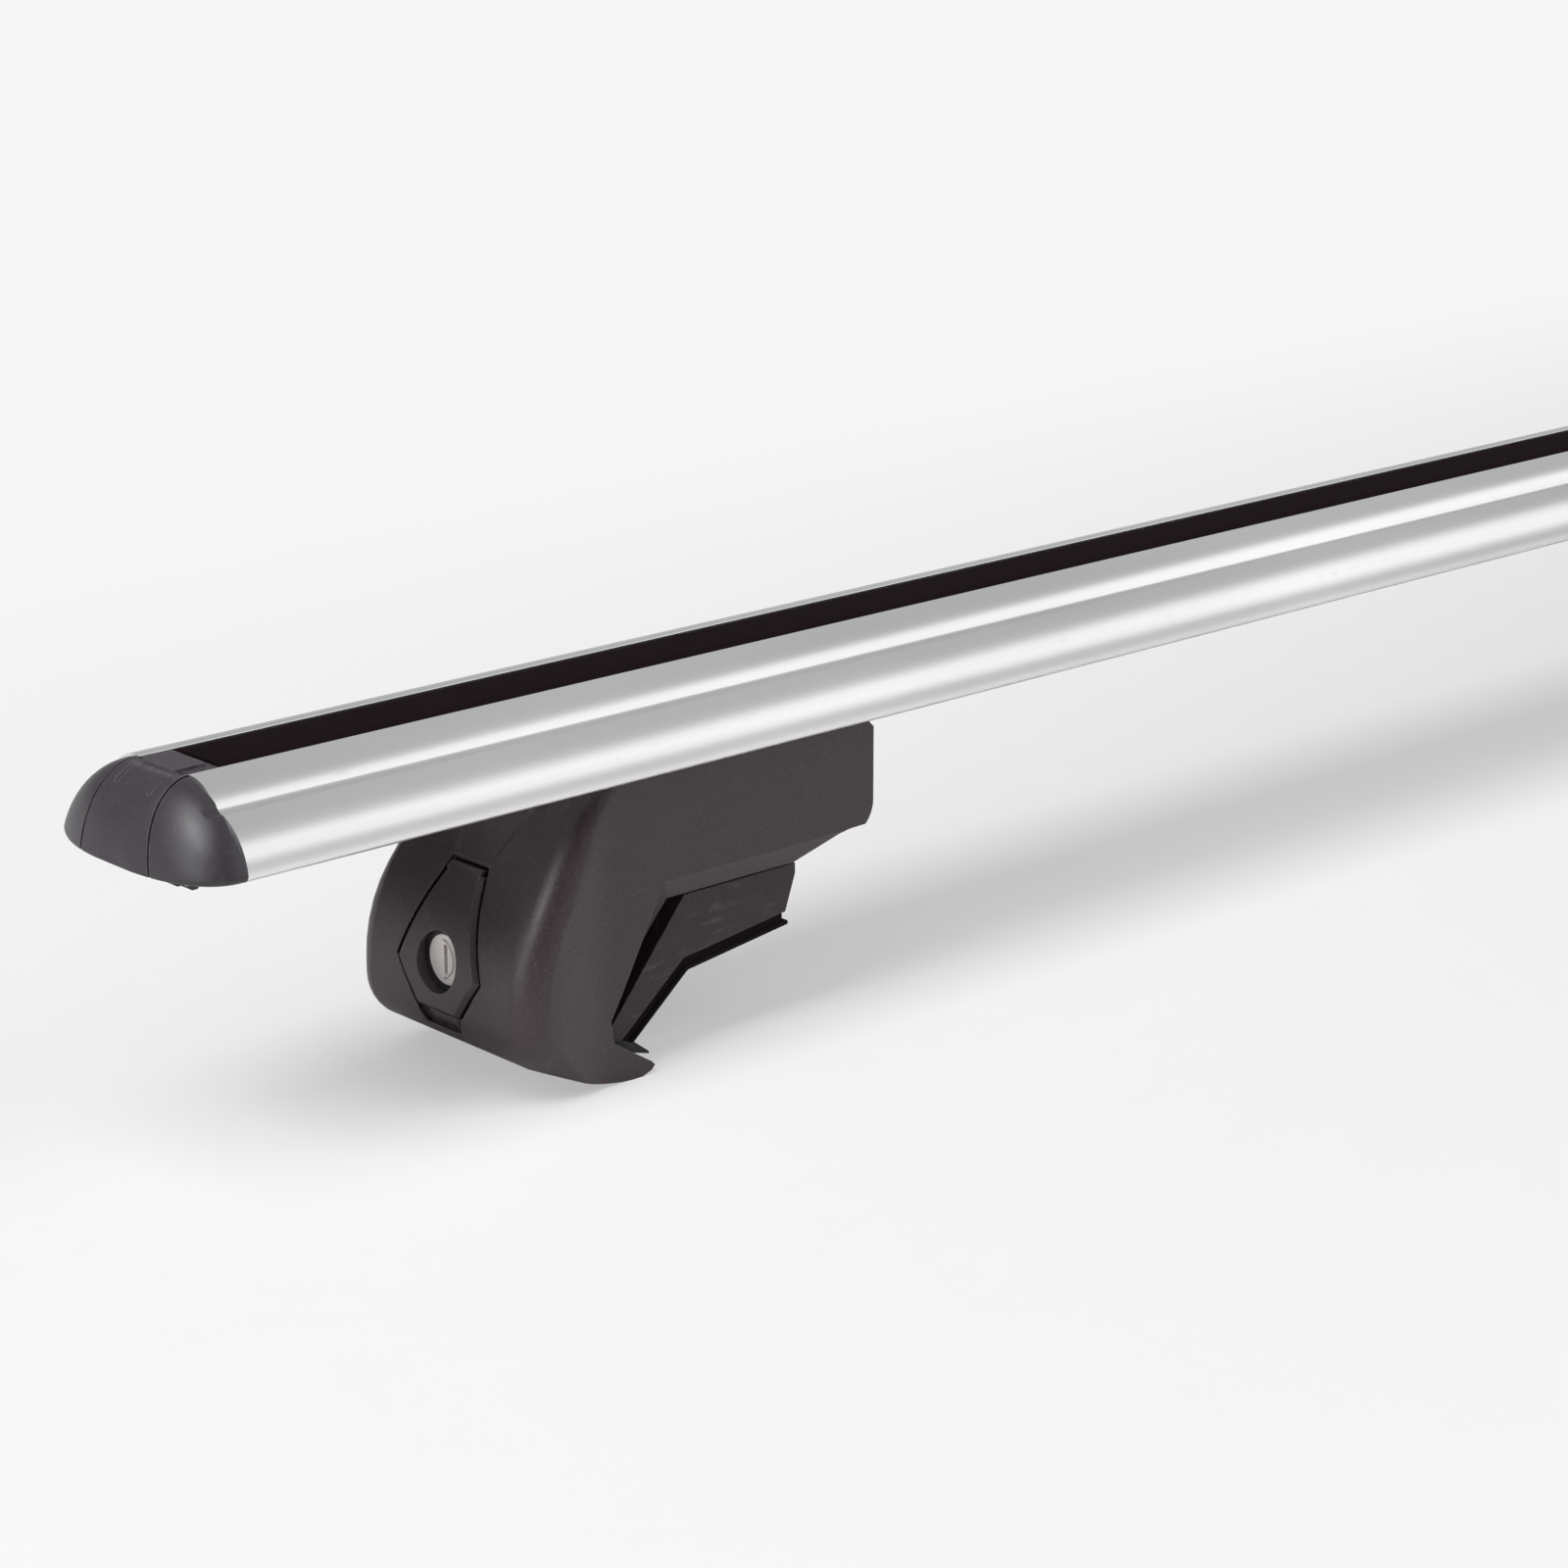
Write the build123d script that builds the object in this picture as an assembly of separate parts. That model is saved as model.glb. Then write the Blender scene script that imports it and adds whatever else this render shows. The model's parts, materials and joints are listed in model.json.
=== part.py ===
"""Roof rack crossbar: aluminium bar with a T-slot, end caps with flaps and two locking rail feet.

Frame: millimetres, +X along the bar, +Y across it, +Z up, origin on the floor under the bar's middle.
The left foot is built from its nose (u = 0, u inboard) and mirrored for the right end.
"""
from build123d import *
import os
from math import cos, radians, sin, sqrt, tan

# Bar extrusion, heights counted from its underside
BAR_LENGTH = 1170.0
BAR_WIDTH = 72.0
BAR_HEIGHT = 22.5
BAR_WALL = 1.8
BAR_EDGE_RADIUS = 2.2
FLANK_RADIUS = 17.0
LEDGE_HEIGHT = 15.3
LEDGE_WIDTH = 3.4
LEDGE_ROUND = 0.9
LOBE_HALF_WIDTH = 22.9
LOBE_RADIUS = 11.2
RECESS_WIDTH = 22.0
RECESS_DEPTH = 2.6
SLOT_MOUTH = 11.5
SLOT_LIP = 2.2
SLOT_WIDTH = 20.0
SLOT_DEPTH = 7.4
WEB = 1.8
CHANNEL_MOUTH = 11.0
CHANNEL_LIP = 2.3
CHANNEL_WIDTH = 20.0

# Rubber strip in the slot
STRIP_RISE = 0.3
STRIP_LAND = 12.0
STRIP_EDGE_DROP = 0.7
STRIP_SIDE_GAP = 0.2
STRIP_BARB = 1.3
STRIP_BARB_HEIGHT = 1.4
STRIP_END_GAP = 0.5

# End caps and flaps
CAP_BULGE = 16.2
CAP_SIDE_POWER = 2.0
CAP_PLAN_POWER = 2.5
CAP_TIP_SHARE = 0.99
CAP_BACK_PLATE = 1.6
CAP_SKIN = 2.2
CAP_PLUG_LENGTH = 12.0
CAP_PLUG_GAP = 0.25
CAP_PLUG_WALL = 1.5
CAP_NOTCH_RADIUS = 3.4
CAP_NOTCH_LENGTH = 4.2
BAND_TOP_HALF = 11.4
BAND_BOTTOM_HALF = 15.0
BAND_GAP = 0.7
TONGUE_LENGTH = 10.0
TONGUE_PANEL_HALF = 7.2
TONGUE_PANEL_RISE = 0.5
TONGUE_LIP_DROP = 0.3
FLAP_HINGE_X = -6.4
FLAP_HINGE_DROP = 2.4
FLAP_KNUCKLE_RADIUS = 1.9
FLAP_PIN_RADIUS = 1.0
FLAP_CHEEK_WIDTH = 2.8
FLAP_CHEEK_DEPTH = 4.8
FLAP_CHEEK_LENGTH = 10.4
FLAP_CHEEK_TAIL = -2.6

# Foot: where it stands and its casing, side profile from the nose
FOOT_INSET = 84.0
FOOT_HEIGHT = 85.0
FOOT_LENGTH = 130.5
FOOT_WIDTH = 66.0
TOP_GAP = 0.3
CASING_WALL = 2.6
CASING_SIDE = 4.4
NOSE_LEAN = 33.0
NOSE_RADIUS = 50.0
NOSE_FLAT_TOP = 27.0
NOSE_FLAT_BOTTOM = 23.0
NOSE_CORNER = 14.0
HEEL_SLOPE = 23.0
SOLE_BLEND = 52.0
SIDE_ROUND = 8.0
ROUND_FULLNESS = 1.08
FLARE = 5.0
FLARE_START = 6.0
FLARE_END = 34.0
SOLE_EDGE = 0.5
HOOK_TIP = 48.6
HOOK_TIP_HEIGHT = 3.6
HOOK_TIP_ROUND = 4.5
HOOK_ROOT_U = 34.2
HOOK_ROOT_Z = 12.2
LEG_FOOT_Z = 18.6
LEG_FOOT_U = 33.2
LEG_KNEE_U = 37.2
LEG_KNEE_Z = 25.5
CUT_CORNER_U = 56.5
CUT_TOP_Z = 47.6
CUT_END_U = 103.5
WING_RISE = 7.0
WING_CORNER = 9.0
WING_TOP_CHAMFER = 2.0
BEVEL_HEIGHT = 6.6
BEVEL_DEPTH = 3.8
PANEL_LOW_DEPTH = 0.5
PANEL_TOP_DEPTH = 1.8
PANEL_TOP_HALF = 20.0
PANEL_SIDE_SLOPE = 20.0

# Rail seat under the saddle
SEAT_CORNER_U = 66.0
SEAT_CORNER_Z = 23.9
SEAT_TOP_SLOPE = 7.2
SEAT_SIDE_SLOPE = 39.5
SEAT_END_U = 103.5
TOE_GAP = 0.5
PAD_THICKNESS = 4.2
PAD_LIP = 1.3
PAD_INSET = 1.2
SADDLE_SIDE_GAP = 1.6
SADDLE_END_U = 106.0
SADDLE_TOP_GAP = 1.3
SADDLE_BACK = 11.5
SADDLE_TRAY_DEPTH = 3.0
TRAY_GAP = 0.3

# Steel bracket and its fasteners
BRACKET_START_U = 46.0
BRACKET_END_U = 112.0
BRACKET_FLANGE_END_U = 90.0
BRACKET_WIDTH = 44.0
BRACKET_PLATE = 3.0
BRACKET_LIP = 14.0
BRACKET_LIP_START_U = 75.0
SLOT_BOLT_US = (62.0, 100.0)
SLOT_BOLT_RADIUS = 4.0
SLOT_BOLT_HEAD = 17.0
SLOT_BOLT_HEAD_GAP = 0.8
SLOT_BOLT_END = 2.4
NUT_AF = 13.0
NUT_HEIGHT = 6.5
WASHER_RADIUS = 8.0
WASHER_HEIGHT = 1.6
HOLE_GAP = 0.5
FIT_GAP = 0.05
SCREW_U = 83.0
SCREW_Y = 14.0
SCREW_RADIUS = 2.5
SCREW_HEAD_RADIUS = 4.5
SCREW_HEAD_HEIGHT = 3.0
SCREW_HEAD_DEPTH = 3.5

# Clamp bolt, barrel nut and hook plate
BOLT_Z = 53.0
BOLT_RADIUS = 4.0
BOLT_LENGTH = 55.0
BOLT_HEAD_RADIUS = 6.5
BOLT_HEAD_HEIGHT = 8.0
BOLT_HEAD_U = 16.0
BOLT_SOCKET_AF = 6.0
BOLT_SOCKET_DEPTH = 4.0
BARREL_NUT_U = 66.0
BARREL_NUT_RADIUS = 6.0
HOOK_PLATE = 3.0
HOOK_PLATE_TOP_Z = 62.0
HOOK_PLATE_HALF = 24.0
HOOK_STEM_HALF = 13.0
HOOK_STEM_Z = 26.0
HOOK_FOOT_SLOPE = 16.0
HOOK_FOOT_TIP_U = 54.0
HOOK_FOOT_TIP_Z = 1.7
HOOK_FOOT_BEVEL = 5.0
HOOK_BEND = 6.0

# Lock cover on the nose, kite outline seen from the front
COVER_TOP_Z = 60.0
COVER_TOP_HALF = 6.9
COVER_WIDE_Z = 33.0
COVER_WIDE_HALF = 17.5
COVER_BOTTOM_Z = 21.0
COVER_BOTTOM_HALF = 8.5
COVER_GAP = 1.0
COVER_BEVEL = 1.2
COVER_HINGE_GAP = 0.7
COVER_PROUD = 1.0
COVER_THICKNESS = 3.2
COVER_HINGE_RADIUS = 2.2
COVER_PIN_RADIUS = 0.8
COVER_PIN_REACH = 3.5
COVER_PIN_BOSS = 3.0
SCOOP_HEIGHT = 4.2
SCOOP_DEPTH = 1.7
LOCK_Z = 35.0
LOCK_HOLE_RADIUS = 8.5
LOCK_RADIUS = 7.1
LOCK_GAP = 0.1
LOCK_RECESS = 4.0
LOCK_BOSS_WALL = 1.6
LOCK_END_U = 13.0
KEYWAY_WIDTH = 1.4
KEYWAY_LENGTH = 8.5
KEYWAY_DEPTH = 2.5
CAM_THICKNESS = 2.0
CAM_LENGTH = 16.4
CAM_WIDTH = 7.0
CAM_GAP = 0.5
CATCH_HALF = 6.0
CATCH_HEIGHT = 5.5
CATCH_GAP = 0.4
PLUG_TAIL = 3.0


def polygon(points):
    """A flat face from corner points."""
    return make_face(Polyline(*points, close=True))


def arc(start, end, radius):
    """A circular arc that bulges to the right of the way from start to end."""
    half_x = (end[0] - start[0]) / 2
    half_y = (end[1] - start[1]) / 2
    half = sqrt(half_x * half_x + half_y * half_y)
    rise = radius - sqrt(radius * radius - half * half)
    middle = (start[0] + half_x + half_y / half * rise, start[1] + half_y - half_x / half * rise)
    return ThreePointArc(start, middle, end)


def across(face, y_low, y_high):
    """A face drawn in X and Z, made solid from y_low to y_high."""
    return extrude(Plane.XZ.offset(-y_high) * face, y_high - y_low)


def along(face, x_low, x_high):
    """A face drawn in Y and Z, made solid from x_low to x_high."""
    return extrude(Plane.YZ.offset(x_low) * face, x_high - x_low)


def upright(face, z_low, z_high):
    """A face drawn in X and Y, made solid from z_low to z_high."""
    return extrude(Plane.XY.offset(z_low) * face, z_high - z_low)


def block(x_low, x_high, y_low, y_high, z_low, z_high):
    """A plain box between limits."""
    face = polygon([(x_low, y_low), (x_high, y_low), (x_high, y_high), (x_low, y_high)])
    return upright(face, z_low, z_high)


def rod_x(radius, x_low, x_high, y, z):
    """A round rod along X."""
    return along(Pos(y, z) * Circle(radius), x_low, x_high)


def rod_y(radius, y_low, y_high, x, z):
    """A round rod along Y."""
    return across(Pos(x, z) * Circle(radius), y_low, y_high)


def rod_z(radius, z_low, z_high, x, y):
    """A round rod along Z."""
    return upright(Pos(x, y) * Circle(radius), z_low, z_high)


def both_sides(part):
    """A part with its mirror across the bar."""
    return part + mirror(part, about=Plane.XZ)


# Heights in the bar, from its underside
SLOT_FLOOR = BAR_HEIGHT - RECESS_DEPTH - SLOT_LIP - SLOT_DEPTH
SLOT_TOP = SLOT_FLOOR + SLOT_DEPTH
RECESS_FLOOR = BAR_HEIGHT - RECESS_DEPTH
CHANNEL_TOP = SLOT_FLOOR - WEB


def bar_half_outline(with_ledge):
    """Right half of the bar's outline; without the ledge it is the end cap's plain outline."""
    half = BAR_WIDTH / 2
    low = (half - BAR_EDGE_RADIUS, 0)
    side = (half, BAR_EDGE_RADIUS)
    ledge = (LOBE_HALF_WIDTH + LEDGE_WIDTH, LEDGE_HEIGHT)
    valley = (LOBE_HALF_WIDTH, LEDGE_HEIGHT)
    crest = (RECESS_WIDTH / 2, BAR_HEIGHT)
    lines = Line((0, 0), low) + arc(low, side, BAR_EDGE_RADIUS)
    if with_ledge:
        lines = lines + arc(side, ledge, FLANK_RADIUS) + Line(ledge, valley)
        lines = lines + arc(valley, crest, LOBE_RADIUS)
    else:
        lines = lines + arc(side, crest, 2 * FLANK_RADIUS)
    lines = lines + Line(crest, (0, BAR_HEIGHT)) + Line((0, BAR_HEIGHT), (0, 0))
    return make_face(lines)


def bar_outline():
    """Whole outline of the bar's section, its ledge edges softened."""
    half = bar_half_outline(True)
    corners = half.vertices().filter_by(lambda v: abs(v.Y - LEDGE_HEIGHT) < LEDGE_ROUND)
    half = fillet(corners, LEDGE_ROUND)
    return half + mirror(half, about=Plane.YZ)


def bar_chambers(gap):
    """The two hollow side chambers of the section, drawn in by a gap."""
    inner = offset(bar_outline(), -BAR_WALL - gap, kind=Kind.INTERSECTION)
    core = max(SLOT_WIDTH, RECESS_WIDTH, CHANNEL_WIDTH) + 2 * BAR_WALL + 2 * gap
    return inner - Rectangle(core, 4 * BAR_HEIGHT)


def slab(width, low, high):
    """A rectangle centred across the bar between two heights."""
    return Pos(0, (low + high) / 2) * Rectangle(width, high - low)


def make_bar():
    """The bar extrusion with its slots and chambers, on its own underside."""
    section = bar_outline() - bar_chambers(0)
    section = section - slab(RECESS_WIDTH, RECESS_FLOOR, 2 * BAR_HEIGHT)
    section = section - slab(SLOT_MOUTH, SLOT_TOP, RECESS_FLOOR + RECESS_DEPTH)
    section = section - slab(SLOT_WIDTH, SLOT_FLOOR, SLOT_TOP)
    section = section - slab(CHANNEL_WIDTH, CHANNEL_LIP, CHANNEL_TOP)
    section = section - slab(CHANNEL_MOUTH, -CHANNEL_LIP, CHANNEL_LIP)
    return along(section, -BAR_LENGTH / 2, BAR_LENGTH / 2)


def make_strip():
    """The rubber strip: crowned top in the recess, stem and barbs through the slot mouth."""
    half = RECESS_WIDTH / 2 - STRIP_SIDE_GAP
    top = BAR_HEIGHT + STRIP_RISE
    edge = (half, BAR_HEIGHT - STRIP_EDGE_DROP)
    land = (STRIP_LAND / 2, top)
    lines = Polyline((0, RECESS_FLOOR), (half, RECESS_FLOOR), edge)
    lines = lines + arc(edge, land, RECESS_WIDTH / 2)
    lines = lines + Polyline(land, (0, top), (0, RECESS_FLOOR))
    crown = make_face(lines)
    section = crown + mirror(crown, about=Plane.YZ)
    stem = SLOT_MOUTH - 2 * STRIP_SIDE_GAP
    barb_top = SLOT_TOP - STRIP_SIDE_GAP
    section = section + slab(stem, barb_top - STRIP_BARB_HEIGHT, RECESS_FLOOR)
    section = section + slab(SLOT_MOUTH + 2 * STRIP_BARB, barb_top - STRIP_BARB_HEIGHT, barb_top)
    reach = BAR_LENGTH / 2 - TONGUE_LENGTH - STRIP_END_GAP
    return along(section, -reach, reach)


def dome(inset):
    """The end cap's full bulge, built outboard (towards -X) from the bar's end and drawn in by inset."""
    bulge = CAP_BULGE - inset
    wide = (BAR_WIDTH - 2 * inset) / BAR_WIDTH
    tall = (BAR_HEIGHT - inset) / BAR_HEIGHT
    half = bar_half_outline(False)
    outline = half + mirror(half, about=Plane.YZ)
    faces = []
    for share in (0.0, 0.2, 0.4, 0.58, 0.74, 0.86, 0.93, 0.97, CAP_TIP_SHARE):
        grow_y = wide * (1 - share**CAP_PLAN_POWER) ** (1 / CAP_PLAN_POWER)
        grow_z = tall * (1 - share**CAP_SIDE_POWER) ** (1 / CAP_SIDE_POWER)
        face = scale(outline, by=(grow_y, grow_z, 1))
        faces.append(Plane.YZ.offset(-share * bulge) * face)
    return loft(faces)


def band(gap):
    """The flap's band across the cap, as a prism along X widened by a gap."""
    top = BAND_TOP_HALF + gap
    bottom = BAND_BOTTOM_HALF + gap
    reach = 2 * CAP_BULGE
    points = [(-bottom, -BAR_EDGE_RADIUS), (bottom, -BAR_EDGE_RADIUS)]
    points = points + [(bottom, 0), (top, BAR_HEIGHT), (top, 2 * BAR_HEIGHT)]
    points = points + [(-top, 2 * BAR_HEIGHT), (-top, BAR_HEIGHT), (-bottom, 0)]
    return along(polygon(points), -reach, reach)


def make_cap():
    """The end cap without its flap, at x = 0 against the bar's end."""
    lobes = dome(0) - band(BAND_GAP)
    notch_y = LOBE_HALF_WIDTH + CAP_NOTCH_RADIUS
    notch_z = LEDGE_HEIGHT + CAP_NOTCH_RADIUS
    notch = rod_x(CAP_NOTCH_RADIUS, -CAP_NOTCH_LENGTH, BAR_WALL, notch_y, notch_z)
    notch = notch + Pos(-CAP_NOTCH_LENGTH, notch_y, notch_z) * Sphere(CAP_NOTCH_RADIUS)
    lobes = lobes - both_sides(notch)
    hollow = Pos(0, 0, CAP_SKIN) * dome(2 * CAP_SKIN) - band(BAND_GAP + CAP_SKIN)
    under_notch = block(
        -CAP_BULGE, CAP_BULGE, LOBE_HALF_WIDTH - CAP_SKIN, BAR_WIDTH, RECESS_FLOOR - WEB, 2 * BAR_HEIGHT
    )
    hollow = hollow - both_sides(under_notch)
    cap = lobes - hollow
    plate_top = SLOT_FLOOR - CAP_PLUG_GAP
    half = BAND_BOTTOM_HALF + 2 * BAND_GAP + CAP_SKIN
    plate = block(-CAP_BACK_PLATE, 0, -half, half, 0, plate_top)
    cap = cap + plate
    outer_plug = bar_chambers(CAP_PLUG_GAP)
    inner_plug = bar_chambers(CAP_PLUG_GAP + CAP_PLUG_WALL)
    plug = along(outer_plug - inner_plug, 0, CAP_PLUG_LENGTH)
    seat = along(outer_plug, -CAP_BACK_PLATE, 0) & dome(0)
    cap = cap + plug + (seat - band(BAND_GAP) - both_sides(notch))
    start = FLAP_CHEEK_TAIL - FLAP_CHEEK_LENGTH
    slope_end = FLAP_CHEEK_TAIL - FLAP_CHEEK_DEPTH / 2
    round_off = FLAP_CHEEK_DEPTH / 6
    cheek = [(start, 0), (slope_end, -FLAP_CHEEK_DEPTH), (FLAP_CHEEK_TAIL - round_off, -FLAP_CHEEK_DEPTH)]
    cheek = cheek + [(FLAP_CHEEK_TAIL, -FLAP_CHEEK_DEPTH + round_off), (FLAP_CHEEK_TAIL, WEB), (start, WEB)]
    near = BAND_BOTTOM_HALF + BAND_GAP
    cap = cap + both_sides(across(polygon(cheek), near, near + FLAP_CHEEK_WIDTH))
    return cap - rod_y(FLAP_PIN_RADIUS, -BAR_WIDTH, BAR_WIDTH, FLAP_HINGE_X, -FLAP_HINGE_DROP)


def make_flap():
    """The flap: the cap's middle band, its tongue in the slot recess and the hinge knuckle below."""
    shell = dome(0) - Pos(0, 0, CAP_SKIN) * dome(CAP_SKIN)
    front = shell & band(0)
    knuckle_start = FLAP_HINGE_X - FLAP_KNUCKLE_RADIUS
    knuckle_end = FLAP_HINGE_X + FLAP_KNUCKLE_RADIUS
    reach = BAND_BOTTOM_HALF
    front = front - block(knuckle_start, CAP_BULGE, -BAR_WIDTH, BAR_WIDTH, -BAR_HEIGHT, SLOT_FLOOR)
    knuckle = rod_y(FLAP_KNUCKLE_RADIUS, -reach, reach, FLAP_HINGE_X, -FLAP_HINGE_DROP)
    web_half = reach - BAND_GAP
    web = block(knuckle_start, knuckle_end, -web_half, web_half, -FLAP_HINGE_DROP, CAP_SKIN)
    half = RECESS_WIDTH / 2 - STRIP_SIDE_GAP
    floor = RECESS_FLOOR + CAP_PLUG_GAP
    tongue = block(-CAP_SKIN, TONGUE_LENGTH, -half, half, floor, BAR_HEIGHT - TONGUE_LIP_DROP)
    panel_top = BAR_HEIGHT + TONGUE_PANEL_RISE
    panel_half = TONGUE_PANEL_HALF
    panel = block(-CAP_SKIN / 2, TONGUE_LENGTH - WEB, -panel_half, panel_half, floor, panel_top)
    flap = front + knuckle + web + tongue + panel
    return flap - rod_y(FLAP_PIN_RADIUS + FIT_GAP, -BAR_WIDTH, BAR_WIDTH, FLAP_HINGE_X, -FLAP_HINGE_DROP)


def make_flap_pin():
    """The flap's hinge pin, held in the cap's two cheeks."""
    reach = BAND_BOTTOM_HALF + BAND_GAP + FLAP_CHEEK_WIDTH
    return rod_y(FLAP_PIN_RADIUS, -reach, reach, FLAP_HINGE_X, -FLAP_HINGE_DROP)


def nose_point(inset, height):
    """Where the nose's front surface, drawn in by inset, lies at a height on its leaning part."""
    lean = radians(NOSE_LEAN)
    bend_u = NOSE_RADIUS - (NOSE_RADIUS - inset) * cos(lean)
    bend_z = NOSE_FLAT_TOP + (NOSE_RADIUS - inset) * sin(lean)
    return bend_u + (height - bend_z) * tan(lean)


def side_profile(inset, top, end):
    """Side profile of nose, heel and sole drawn in by inset, closed at a top height and an inboard end."""
    lean = radians(NOSE_LEAN)
    heel = radians(HEEL_SLOPE)
    big = NOSE_RADIUS - inset
    small = NOSE_CORNER - inset
    bend = (NOSE_RADIUS - big * cos(lean), NOSE_FLAT_TOP + big * sin(lean))
    flat_top = (inset, NOSE_FLAT_TOP)
    flat_bottom = (inset, NOSE_FLAT_BOTTOM)
    heel_top = (NOSE_CORNER - small * sin(heel), NOSE_FLAT_BOTTOM - small * cos(heel))
    sole = (heel_top[0] + (heel_top[1] - inset) / tan(heel), inset)
    lines = Line((nose_point(inset, top), top), bend) + arc(bend, flat_top, big)
    lines = lines + Line(flat_top, flat_bottom) + arc(flat_bottom, heel_top, small)
    lines = lines + Polyline(heel_top, sole, (end, inset), (end, top), (nose_point(inset, top), top))
    face = make_face(lines)
    corner = face.vertices().sort_by_distance(Vector(sole[0], sole[1], 0))[0]
    return fillet([corner], SOLE_BLEND), heel_top, sole


def kite(gap, rear):
    """The lock cover's kite outline widened by a gap, as a prism from in front of the nose to rear."""
    top = COVER_TOP_Z + gap
    bottom = COVER_BOTTOM_Z - gap
    right = [(COVER_BOTTOM_HALF + gap, bottom), (COVER_WIDE_HALF + gap, COVER_WIDE_Z)]
    right = right + [(COVER_TOP_HALF + gap, top)]
    left = [(-y, z) for y, z in reversed(right)]
    return along(polygon(right + left), -CASING_WALL - COVER_GAP, rear)


FOOT_HALF = FOOT_WIDTH / 2
CAVITY_HALF = FOOT_HALF - CASING_SIDE
SADDLE_HALF = CAVITY_HALF - SADDLE_SIDE_GAP
CASING_TOP = FOOT_HEIGHT - TOP_GAP
HINGE_Z = COVER_TOP_Z - COVER_HINGE_RADIUS
HINGE_U = nose_point(0, HINGE_Z) + (COVER_HINGE_RADIUS - COVER_PROUD) / cos(radians(NOSE_LEAN))
UPRIGHT_U = BOLT_HEAD_U + BOLT_HEAD_HEIGHT + WASHER_HEIGHT
SADDLE_TOP = CUT_TOP_Z - SADDLE_TOP_GAP
TRAY_FLOOR = SADDLE_TOP - SADDLE_TRAY_DEPTH


def flare_half(u):
    """Half width of the casing in plan: wider at the nose, easing to the plain side walls."""
    share = min(max((u - FLARE_START) / (FLARE_END - FLARE_START), 0), 1)
    return FOOT_HALF + FLARE * (1 - share * share * (3 - 2 * share))


def plan_outline():
    """The casing's outline from above, with the eased flare on both sides."""
    third = (FLARE_END - FLARE_START) / 3
    wide = FOOT_HALF + FLARE
    start = -FLARE_START
    lines = Polyline((start, 0), (start, -wide), (FLARE_START, -wide))
    ease_in = (FLARE_START + third, -wide)
    ease_out = (FLARE_END - third, -FOOT_HALF)
    lines = lines + Bezier((FLARE_START, -wide), ease_in, ease_out, (FLARE_END, -FOOT_HALF))
    lines = lines + Polyline((FLARE_END, -FOOT_HALF), (FOOT_LENGTH, -FOOT_HALF), (FOOT_LENGTH, 0), (start, 0))
    half = make_face(lines)
    return half + mirror(half, about=Plane.XZ)


def round_stations(heel_top, sole):
    """Places along the nose and heel with the inward normal and the side round's radius there."""
    lean = radians(NOSE_LEAN)
    heel = radians(HEEL_SLOPE)
    stations = []
    for height in (FOOT_HEIGHT + CASING_WALL, (FOOT_HEIGHT + NOSE_FLAT_TOP + NOSE_RADIUS * sin(lean)) / 2):
        stations.append((nose_point(0, height), height, cos(lean), -sin(lean), SIDE_ROUND))
    for share in (1.0, 0.8, 0.6, 0.4, 0.2, 0.0):
        turn = lean * share
        u = NOSE_RADIUS - NOSE_RADIUS * cos(turn)
        stations.append((u, NOSE_FLAT_TOP + NOSE_RADIUS * sin(turn), cos(turn), -sin(turn), SIDE_ROUND))
    for share in (0.0, 0.15, 0.3, 0.45, 0.6, 0.8, 1.0):
        turn = (radians(90) - heel) * share
        u = NOSE_CORNER - NOSE_CORNER * cos(turn)
        stations.append((u, NOSE_FLAT_BOTTOM - NOSE_CORNER * sin(turn), cos(turn), sin(turn), SIDE_ROUND))
    run = sole[0] - heel_top[0] - SOLE_BLEND * tan(heel / 2)
    for share in (0.25, 0.5, 0.75, 1.0):
        u = heel_top[0] + run * share
        radius = SIDE_ROUND + (SOLE_EDGE - SIDE_ROUND) * share
        stations.append((u, heel_top[1] - run * share * tan(heel), sin(heel), cos(heel), radius))
    return stations


def rounded_block():
    """The casing's outer form before any cut: flared nose, side rounds that run out along the heel."""
    face, heel_top, sole = side_profile(0, CASING_TOP, FOOT_LENGTH)
    body = across(face, -FOOT_WIDTH, FOOT_WIDTH) & upright(plan_outline(), -FOOT_HEIGHT, 2 * FOOT_HEIGHT)
    far = FOOT_HALF + FLARE + SOLE_EDGE
    faces = []
    for u, z, normal_u, normal_z, radius in round_stations(heel_top, sole):
        place = Plane(origin=(u, 0, z), x_dir=(0, 1, 0), z_dir=(normal_z, 0, -normal_u))
        front = flare_half(u) - radius
        side = flare_half(u + radius * normal_u)
        lines = Polyline((side, radius), (far, radius), (far, -SOLE_EDGE), (front, -SOLE_EDGE), (front, 0))
        lines = lines + arc((front, 0), (side, radius), ROUND_FULLNESS * radius)
        faces.append(place * make_face(lines))
    return body - both_sides(loft(faces, ruled=True))


def panel_cut():
    """Cutter for the sunk panel above the cover: it widens and deepens upwards, with sloping sides."""
    lean = radians(NOSE_LEAN)
    low = (COVER_TOP_Z + COVER_GAP, COVER_TOP_HALF + COVER_GAP, PANEL_LOW_DEPTH)
    high = (FOOT_HEIGHT + CASING_WALL, PANEL_TOP_HALF, PANEL_TOP_DEPTH)
    faces = []
    for height, half, depth in (low, high):
        origin = (nose_point(0, height), 0, height)
        place = Plane(origin=origin, x_dir=(0, 1, 0), z_dir=(-sin(lean), 0, -cos(lean)))
        floor = half - depth / tan(radians(PANEL_SIDE_SLOPE))
        points = [(half, 0), (floor, depth), (-floor, depth), (-half, 0), (-half, -depth), (half, -depth)]
        faces.append(place * polygon(points))
    return loft(faces, ruled=True)


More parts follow.
